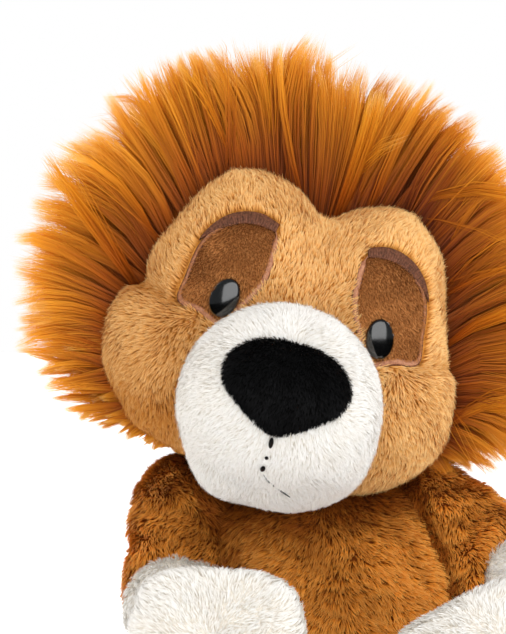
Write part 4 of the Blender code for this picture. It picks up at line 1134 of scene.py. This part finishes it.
def torso_skin(inset):
    """Rings of the torso: a superellipse standing on its flat seat and leaning over as it rises."""
    turns = np.linspace(0, math.pi, 42)[1:-1, None]
    around = np.linspace(0, 2 * math.pi, 96, endpoint=False)
    upper = turns <= math.pi / 2
    fullness = np.where(upper, CHEST_FULLNESS, SEAT_FULLNESS)
    reach = np.where(upper, TORSO_HEIGHT - TORSO_WIDEST, TORSO_WIDEST) - inset
    height = TORSO_WIDEST + np.sign(np.cos(turns)) * reach * np.abs(np.cos(turns)) ** (2 / fullness)
    share = np.sin(turns) ** (2 / fullness)
    middle = -TORSO_LEAN * (np.maximum(height, 0) / TORSO_HEIGHT) ** 3
    x = middle + (TORSO_HALF_WIDTH - inset) * share * np.sin(around)
    y = (TORSO_HALF_DEPTH - inset) * share * np.cos(around)
    return np.stack(np.broadcast_arrays(x, y, height), axis=-1)


def build_torso():
    skin_mesh = ring_skin("torso_plush", torso_skin(2 * MM))
    skin_mesh = stuffed(skin_mesh, lambda points: (points[:, 2] < 4 * MM) | (points[:, 2] > 100 * MM), 2 * MM)
    nodes = ("torso_right_skin", "torso_left_skin", "torso_filling")
    skin = place(skin_mesh, LOOKS["brown backing"], "torso", "brown_plush", *nodes)

    def flow(places):
        x = places[:, 0] - PARTING
        out = np.tanh(x / (14 * MM))
        return np.stack([0.9 * out, 0.1 * out, -1 + 0 * x], axis=-1)

    def shade(places):
        # Painted light and shade: the belly is lighter towards the lion's left, and darker under the chin and in
        # the fold by the right arm
        x, _, z = places.T
        bright = smooth_step(-12 * MM, 34 * MM, x)
        under_chin_shade = smooth_step(82 * MM, 102 * MM, z)
        in_fold_shade = smooth_step(8 * MM, 0, x - RIGHT_FOLD[0] - RIGHT_FOLD[2] * (RIGHT_FOLD[1] - z))
        return 0.58 + 0.46 * bright + 0.18 * ripple(places, 16 * MM, 12) - under_chin_shade - 0.4 * in_fold_shade

    def in_front(places):
        return (places[:, 1] < -8 * MM) & (places[:, 2] > 20 * MM)

    for part, density, width, seed, keep in (
        ("front", 3.2, 0.5 * MM, 80, in_front), ("back", 0.9, 0.7 * MM, 84, lambda places: ~in_front(places)),
    ):
        pile(
            f"torso_{part}_pile", skin, LOOKS["brown pile"], "torso", "brown_plush", density, 4.8 * MM, width,
            flow, shade, seed, tuft=2.4 * MM, draw=0.45,
            keep=lambda places, normals, part_of=keep: part_of(places) & above_floor(places, normals),
        )


class Limb:
    """Tube along a bent line, with a ball at its joint and a swell towards its end."""

    def __init__(self, start, middle, end, radii, swell, thickness, reference, rounded):
        self.start, self.middle, self.end = start, middle, end
        self.radii, self.swell, self.thickness = radii, swell, thickness
        self.reference, self.rounded = reference, rounded

    def point(self, share):
        return (1 - share) ** 2 * self.start + 2 * (1 - share) * share * self.middle + share**2 * self.end

    def along(self, share):
        return unit((1 - share) * (self.middle - self.start) + share * (self.end - self.middle))

    def length(self):
        points = np.array([self.point(share) for share in np.linspace(0, 1, 12)])
        return np.linalg.norm(np.diff(points, axis=0), axis=1).sum()

    def ring(self, share, inset, segments=48):
        """Ring at this share of the length: -1 to 0 is the ball at the joint, and 1 is the tip."""
        root, full = self.radii
        turns = np.linspace(0, 2 * math.pi, segments, endpoint=False)
        along = self.along(max(share, 0))
        across = unit(np.cross(along, self.reference))
        up = np.cross(across, along)
        if share < 0:
            turn = (1 + share) * math.pi / 2
            middle = self.start - along * (root - inset) * math.cos(turn)
            radius, thick = (root - inset) * math.sin(turn), 1
        else:
            swell = math.sin(min(share / self.swell, 1) * math.pi / 2)
            radius = root + (full - root) * swell - inset
            thick = 1 + (self.thickness - 1) * swell
            middle = self.point(share)
            if self.rounded:
                distance = np.clip(1 - (1 - share) * (self.length() - inset) / (full - inset), 0, 1)
                radius *= (1 - distance**HAND_FULLNESS) ** (1 / HAND_FULLNESS)
        return middle + radius * (np.sin(turns)[:, None] * across + thick * np.cos(turns)[:, None] * up)

    def rings(self, shares, inset, segments=48):
        return np.array([self.ring(share, inset, segments) for share in shares])


def seam_pull(rings, depth):
    """Draws the last ring in towards its middle, and the ones before it less, as a seam does."""
    count = len(rings)
    share = np.clip((np.arange(count) - count + 6) / 5, 0, 1)[:, None, None] ** 2
    middle = rings.mean(axis=1, keepdims=True)
    return middle + (rings - middle) * (1 - depth * share)


def resampled(fine, places):
    """Rings through a fine grid of rings, at places from 0 to 1 down each of its columns."""
    row = places * (len(fine) - 1)
    i = np.minimum(row.astype(int), len(fine) - 2)
    column = np.arange(fine.shape[1])
    t = (row - i)[..., None]
    return fine[i, column] * (1 - t) + fine[i + 1, column] * t


def build_arm(side, name, sizes, fold):
    """Arm: a brown sleeve from the ball in the shoulder's socket, and a white hand sewn to it on a slant."""
    out, forward, down, bow, sag, root, cuff, slant = sizes
    start = JOINTS[f"{name}_arm_lift"]
    end = start + np.array([side * out, -forward, -down])
    middle = start + np.array([side * (out / 2 + bow), -forward / 3, -down * sag])
    radii = (root, WRIST_RADIUS)
    limb = Limb(start, middle, end, radii, 0.42, ARM_THICKNESS_SHARE, (0, 1, 0), True)
    fine = limb.rings(np.linspace(LIMB_START, LIMB_END, 240), SKIN_INSET)
    outward = unit(fine[150] - fine[150].mean(axis=0)) @ np.array([side, 0.35, 0])
    later = abs(slant) * np.clip(np.sign(slant) * outward, 0, 1) ** 2
    seam = (cuff + later - LIMB_START) / (LIMB_END - LIMB_START)
    body = f"{name}_arm"
    line = resampled(fine, seam[None])[0]

    def near_seam(points):
        return np.linalg.norm(points[:, None] - line, axis=-1).min(axis=1) < SEAM_HOLD

    def on_side(places, normals):
        share = np.linspace(-0.9, LIMB_END, 40)
        middles = np.array([limb.start if s < 0 else limb.point(s) for s in share])
        radius = np.linalg.norm(limb.rings(share, SKIN_INSET) - middles[:, None], axis=-1).min(axis=1)
        apart = np.linalg.norm(places[:, None] - middles, axis=-1)
        return (apart / np.maximum(radius, 8 * MM)).min(axis=1) > 0.86

    rings = seam_pull(resampled(fine, np.linspace(0, 1, 36)[:, None] * seam), SEAM_DRAW)
    skin_mesh = stuffed(
        ring_skin(f"{name}_sleeve_plush", rings),
        lambda points: near_seam(points) | (points[:, 2] > start[2] + 8 * MM), 2.5 * MM, 4 * MM,
    )
    nodes = (f"{name}_sleeve", f"{name}_arm_filling")
    sleeve = place(skin_mesh, LOOKS["brown backing"], body, "brown_plush", *nodes)
    axis = limb.along(cuff)

    def flow(places):
        swirl = 0.6 * ripple(places, 22 * MM, 30 + side)
        return axis + np.cross(axis, places - limb.middle) / (20 * MM) * swirl[:, None]

    def shade(places):
        # Painted light and shade: the left arm is lighter than the right, and the sleeve is darker at its top,
        # under the head, and in the fold by the torso
        x, _, z = places.T
        top = smooth_step(start[2] - 8 * MM, start[2] + 10 * MM, z)
        in_fold_shade = smooth_step(11 * MM, 2 * MM, side * (x - fold[0] - fold[2] * (fold[1] - z)))
        return 0.85 + 0.08 * side - 0.25 * top - 1.0 * in_fold_shade + 0.2 * ripple(places, 12 * MM, 33)

    pile(
        f"{name}_sleeve_pile", sleeve, LOOKS["brown pile"], body, "brown_plush", 3.2, 4.4 * MM, 0.54 * MM,
        flow, shade, 90 + side, keep=on_side, tuft=2.2 * MM, draw=0.45,
    )
    places = 1 - np.linspace(0, 1, 26)[:, None] * (1 - seam)
    rings = seam_pull(resampled(fine, places), SEAM_DRAW)
    skin_mesh = stuffed(ring_skin(f"{name}_hand_plush", rings), near_seam, 2.5 * MM, 4 * MM)
    hand = place(skin_mesh, LOOKS["white backing"], body, "white_plush", f"{name}_hand")
    pile(
        f"{name}_hand_pile", hand, LOOKS["white pile"], body, "white_plush", 3.6, 3.2 * MM, 0.46 * MM,
        flow, mottled(0.7, 0.15, 14 * MM, 35), 94 + side, keep=on_side, tuft=2.4 * MM,
    )


def foot_rings(side, roll, high, inset):
    """Rings of a foot from its sole to its back: an upright superellipse pad, rolled about the leg's line."""
    hip = JOINTS[f"{'right' if side < 0 else 'left'}_leg_spread"]
    power = FOOT_FULLNESS / (FOOT_FULLNESS - 1)
    wide, tall = FOOT_HALF_WIDTH * abs(math.sin(roll)), high * abs(math.cos(roll))
    rise = (wide**power + tall**power) ** (1 / power) - 0.5 * MM
    middle = np.array([hip[0] + side * LEG_SPLAY, hip[1] - LEG_REACH, rise])
    turns = np.linspace(0, 2 * math.pi, 72, endpoint=False)
    t = np.linspace(0, math.pi, 30)[1:-1, None]
    power = 2 / FOOT_FULLNESS
    share = np.sin(t) ** power
    square = 2 / FOOT_SQUARENESS
    u = np.sign(np.sin(turns)) * np.abs(np.sin(turns)) ** square * (FOOT_HALF_WIDTH - inset) * share
    v = np.sign(np.cos(turns)) * np.abs(np.cos(turns)) ** square * (high - inset) * share
    depth = np.sign(np.cos(t)) * np.abs(np.cos(t)) ** power * (FOOT_HALF_DEPTH - inset)
    splay = math.atan2(LEG_SPLAY, LEG_REACH)
    across = side * (u * math.cos(roll) + v * math.sin(roll))
    x = across * math.cos(splay) + side * depth * math.sin(splay)
    y = side * across * math.sin(splay) - depth * math.cos(splay)
    z = np.maximum((v * math.cos(roll) - u * math.sin(roll)) + middle[2], FLOOR_GAP)
    return np.stack([x + middle[0], y + middle[1], z], axis=-1), middle


def build_leg(side, name, roll, high):
    """Leg: a brown tube lying forward from the hip, and the foot's white pad sewn upright on its end."""
    start = JOINTS[f"{name}_leg_spread"]
    rings, middle = foot_rings(side, roll, high, SKIN_INSET)
    end = np.array([middle[0], middle[1], (middle[2] + start[2]) / 2])
    limb = Limb(
        start, np.array([(start[0] + end[0]) / 2, (start[1] + end[1]) / 2, start[2]]), end,
        (LEG_RADIUS, ANKLE_RADIUS), 1, 1, (0, 0, 1), False,
    )
    body = f"{name}_leg"
    tube = limb.rings(np.linspace(LIMB_START, 0.9, 40), SKIN_INSET)
    tube[..., 2] = np.maximum(tube[..., 2], FLOOR_GAP)
    skin_mesh = stuffed(
        ring_skin(f"{name}_leg_plush", tube),
        lambda points: (points[:, 1] < end[1] + 12 * MM) | (points[:, 2] < 3 * MM), 2.5 * MM,
    )
    skin = place(skin_mesh, LOOKS["brown backing"], body, "brown_plush", f"{name}_leg", f"{name}_leg_filling")
    pile(
        f"{name}_leg_pile", skin, LOOKS["brown pile"], body, "brown_plush", 1.2, 5.0 * MM, 0.85 * MM,
        steady((0.0, -1.0, -0.5)), mottled(0.45, 0.24, 14 * MM, 37), 100 + side,
        keep=above_floor, tuft=3.0 * MM, draw=0.6,
    )
    skin_mesh = stuffed(
        ring_skin(f"{name}_foot_plush", rings), lambda points: points[:, 2] < 3 * MM, 2.5 * MM,
    )
    foot = place(skin_mesh, LOOKS["white backing"], body, "white_plush", f"{name}_foot")
    pile(
        f"{name}_foot_pile", foot, LOOKS["white pile"], body, "white_plush", 2.2, 3.2 * MM, 0.55 * MM,
        lambda places: places - middle + np.array([0, 0, -10 * MM]),
        mottled(0.5, 0.15, 14 * MM, 38), 104 + side, keep=above_floor, tuft=2.4 * MM,
    )


def build_tail():
    """Tail: a thin brown tube that curves back and to the side, and a tuft of mane fur on its end."""
    start = JOINTS["tail_swing"]
    end = start + np.array([TAIL_SIDE, TAIL_BACK, TUFT_RADIUS + 2 * MM - start[2]])
    middle = np.array([start[0], start[1] + TAIL_BACK, end[2]])
    limb = Limb(start, middle, end, (TAIL_RADIUS, TAIL_RADIUS), 1, 1, (0, 0, 1), False)
    skin = place(
        ring_skin("tail_plush", limb.rings(np.linspace(-0.95, 1, 48), SKIN_INSET, 20)),
        LOOKS["brown backing"], "tail", "brown_plush", "tail",
    )
    along = limb.along(1)
    pile(
        "tail_pile", skin, LOOKS["brown pile"], "tail", "brown_plush", 3.0, 3.6 * MM, 0.6 * MM,
        steady(along), mottled(0.45, 0.2, 10 * MM, 39), 110,
    )
    turns = np.linspace(0, math.pi, 20)[1:-1]
    across = unit(np.cross(along, (0, 0, 1)))
    up = np.cross(across, along)
    around = np.linspace(0, 2 * math.pi, 20, endpoint=False)
    core = np.array([
        end + along * TUFT_LENGTH * 0.3 * (1 - math.cos(t)) / 2
        + 4.5 * MM * math.sin(t) * (np.sin(around)[:, None] * across + np.cos(around)[:, None] * up)
        for t in turns
    ])
    tuft = place(ring_skin("tail_tuft_cloth", core), LOOKS["brown backing"], "tail", "mane_fur", "tail_tuft")
    rng = np.random.default_rng(115)
    roots, outward = (rows[:TUFT_HAIRS] for rows in scatter(tuft, 40, 116, everywhere))
    count = len(roots)
    lock = gathered(roots, 3 * MM, 117)
    locks = rng.normal(size=(lock.max() + 1, 4))
    spread = unit(outward * 0.55 + along + 0.12 * locks[lock, :3] + 0.05 * rng.normal(size=(count, 3)))
    length = TUFT_HAIR * (1 + 0.1 * locks[lock, 3] + 0.08 * rng.normal(size=count)).clip(0.6, 1.1)
    share = np.linspace(0, 1, 5)[None, :, None]
    bend = (along - outward) * 0.25
    spines = roots[:, None] + (spread[:, None] * share + bend[:, None] * share**2) * length[:, None, None]
    spines[..., 2] = np.maximum(spines[..., 2], FLOOR_GAP)
    sides = unit(np.cross(spread, rng.normal(size=(count, 3))))
    hair = ribbons(
        "tail_tuft_hair", spines, sides, rng.uniform(0.42, 0.84, count) * MM,
        0.45 + 0.15 * locks[lock, 3] + 0.12 * rng.normal(size=count),
    )
    place(hair, LOOKS["mane hair"], "tail", "mane_fur")


build_face()
build_muzzle()
build_nose()
build_mouth()
for half, half_name in ((-1, "right"), (1, "left")):
    build_patch(half, half_name)
    build_brow(half, half_name)
    build_eye(half, half_name)
    build_mane(half, half_name)
build_torso()
build_arm(-1, "right", RIGHT_ARM, RIGHT_FOLD)
build_arm(1, "left", LEFT_ARM, LEFT_FOLD)
build_leg(-1, "right", *RIGHT_FOOT)
build_leg(1, "left", *LEFT_FOOT)
build_tail()

# Hidden inside: the eyes' washers of pressed fibre and the woven pouch of beans
for node, look in (
    ("right_eye_washer", "washer"), ("left_eye_washer", "washer"), ("bean_pouch", "pouch"),
):
    for holder in bpy.data.objects[node].material_slots:
        holder.material = LOOKS[look]


# Stage


def build_stage():
    """Pale studio floor that runs out of sight, soft light from above and both sides, and the camera."""
    made, tree = blank("pale_studio_floor")
    shader = add(
        tree, "ShaderNodeBsdfPrincipled", Base_Color=linear("F7F6F4"), Roughness=0.9,
        Emission_Color=linear("FFFFFF"),
    )
    path = add(tree, "ShaderNodeLightPath")
    glow = add(tree, "ShaderNodeMath", [(0, path.outputs["Is Camera Ray"])], operation="MULTIPLY_ADD")
    glow.inputs[1].default_value, glow.inputs[2].default_value = 0.4, 0.45
    tree.links.new(glow.outputs[0], shader.inputs["Emission Strength"])
    dark = add(tree, "ShaderNodeBackground", Color=(0, 0, 0, 1))
    either = add(
        tree, "ShaderNodeMixShader",
        [(0, path.outputs["Is Glossy Ray"]), (1, shader.outputs["BSDF"]), (2, dark.outputs[0])],
    )
    add(tree, "ShaderNodeOutputMaterial", [("Surface", either.outputs[0])])
    reach = 12.0
    corners = np.array([(-reach, -reach, 0), (reach, -reach, 0), (reach, reach, 0), (-reach, reach, 0)])
    floor = bpy.data.objects.new("floor", mesh_of("floor", corners, np.arange(4)[None]))
    floor.data.materials.append(made)
    bpy.context.scene.collection.objects.link(floor)
    world = bpy.data.worlds.new("studio")
    bpy.context.scene.world = world
    world.use_nodes = True
    tree = world.node_tree
    tree.nodes.clear()
    path = add(tree, "ShaderNodeLightPath")
    soft = add(tree, "ShaderNodeBackground", Color=(1, 1, 1, 1), Strength=0.56)
    seen = add(tree, "ShaderNodeBackground", Color=(1, 1, 1, 1), Strength=1.0)
    gloss = add(tree, "ShaderNodeBackground", Color=(0.9, 0.97, 1, 1), Strength=0.12)
    either = add(
        tree, "ShaderNodeMixShader",
        [(0, path.outputs["Is Glossy Ray"]), (1, soft.outputs[0]), (2, gloss.outputs[0])],
    )
    final = add(
        tree, "ShaderNodeMixShader",
        [(0, path.outputs["Is Camera Ray"]), (1, either.outputs[0]), (2, seen.outputs[0])],
    )
    add(tree, "ShaderNodeOutputWorld", [("Surface", final.outputs[0])])
    aim = np.array([-20 * MM, 0, 150 * MM])
    for name, place_at, size, power in (
        ("key", (0.32, -1.15, 0.84), (2.4, 1.65), 18.0),
        ("fill", (-1.0, -0.8, 0.45), (0.7, 0.9), 0.8),
        ("rim_left", (-0.8, 0.7, 0.6), (0.4, 0.8), 4.5),
        ("rim_right", (0.8, 0.7, 0.6), (0.4, 0.8), 4.5),
    ):
        light = bpy.data.lights.new(name, "AREA")
        light.shape = "RECTANGLE"
        light.size, light.size_y = size
        light.energy = power
        lamp = bpy.data.objects.new(name, light)
        direction = Vector(aim - np.array(place_at))
        lamp.rotation_euler = direction.to_track_quat("-Z", "Y").to_euler()
        lamp.location = place_at
        lamp.visible_glossy = name != "fill"
        bpy.context.scene.collection.objects.link(lamp)
    camera = bpy.data.objects.new("camera", bpy.data.cameras.new("camera"))
    camera.location = CAMERA_PLACE
    camera.rotation_euler = (math.pi / 2, 0, 0)
    camera.data.lens = CAMERA_LENS
    bpy.context.scene.collection.objects.link(camera)
    bpy.context.scene.camera = camera
    bpy.context.scene.view_settings.view_transform = "Standard"


build_stage()
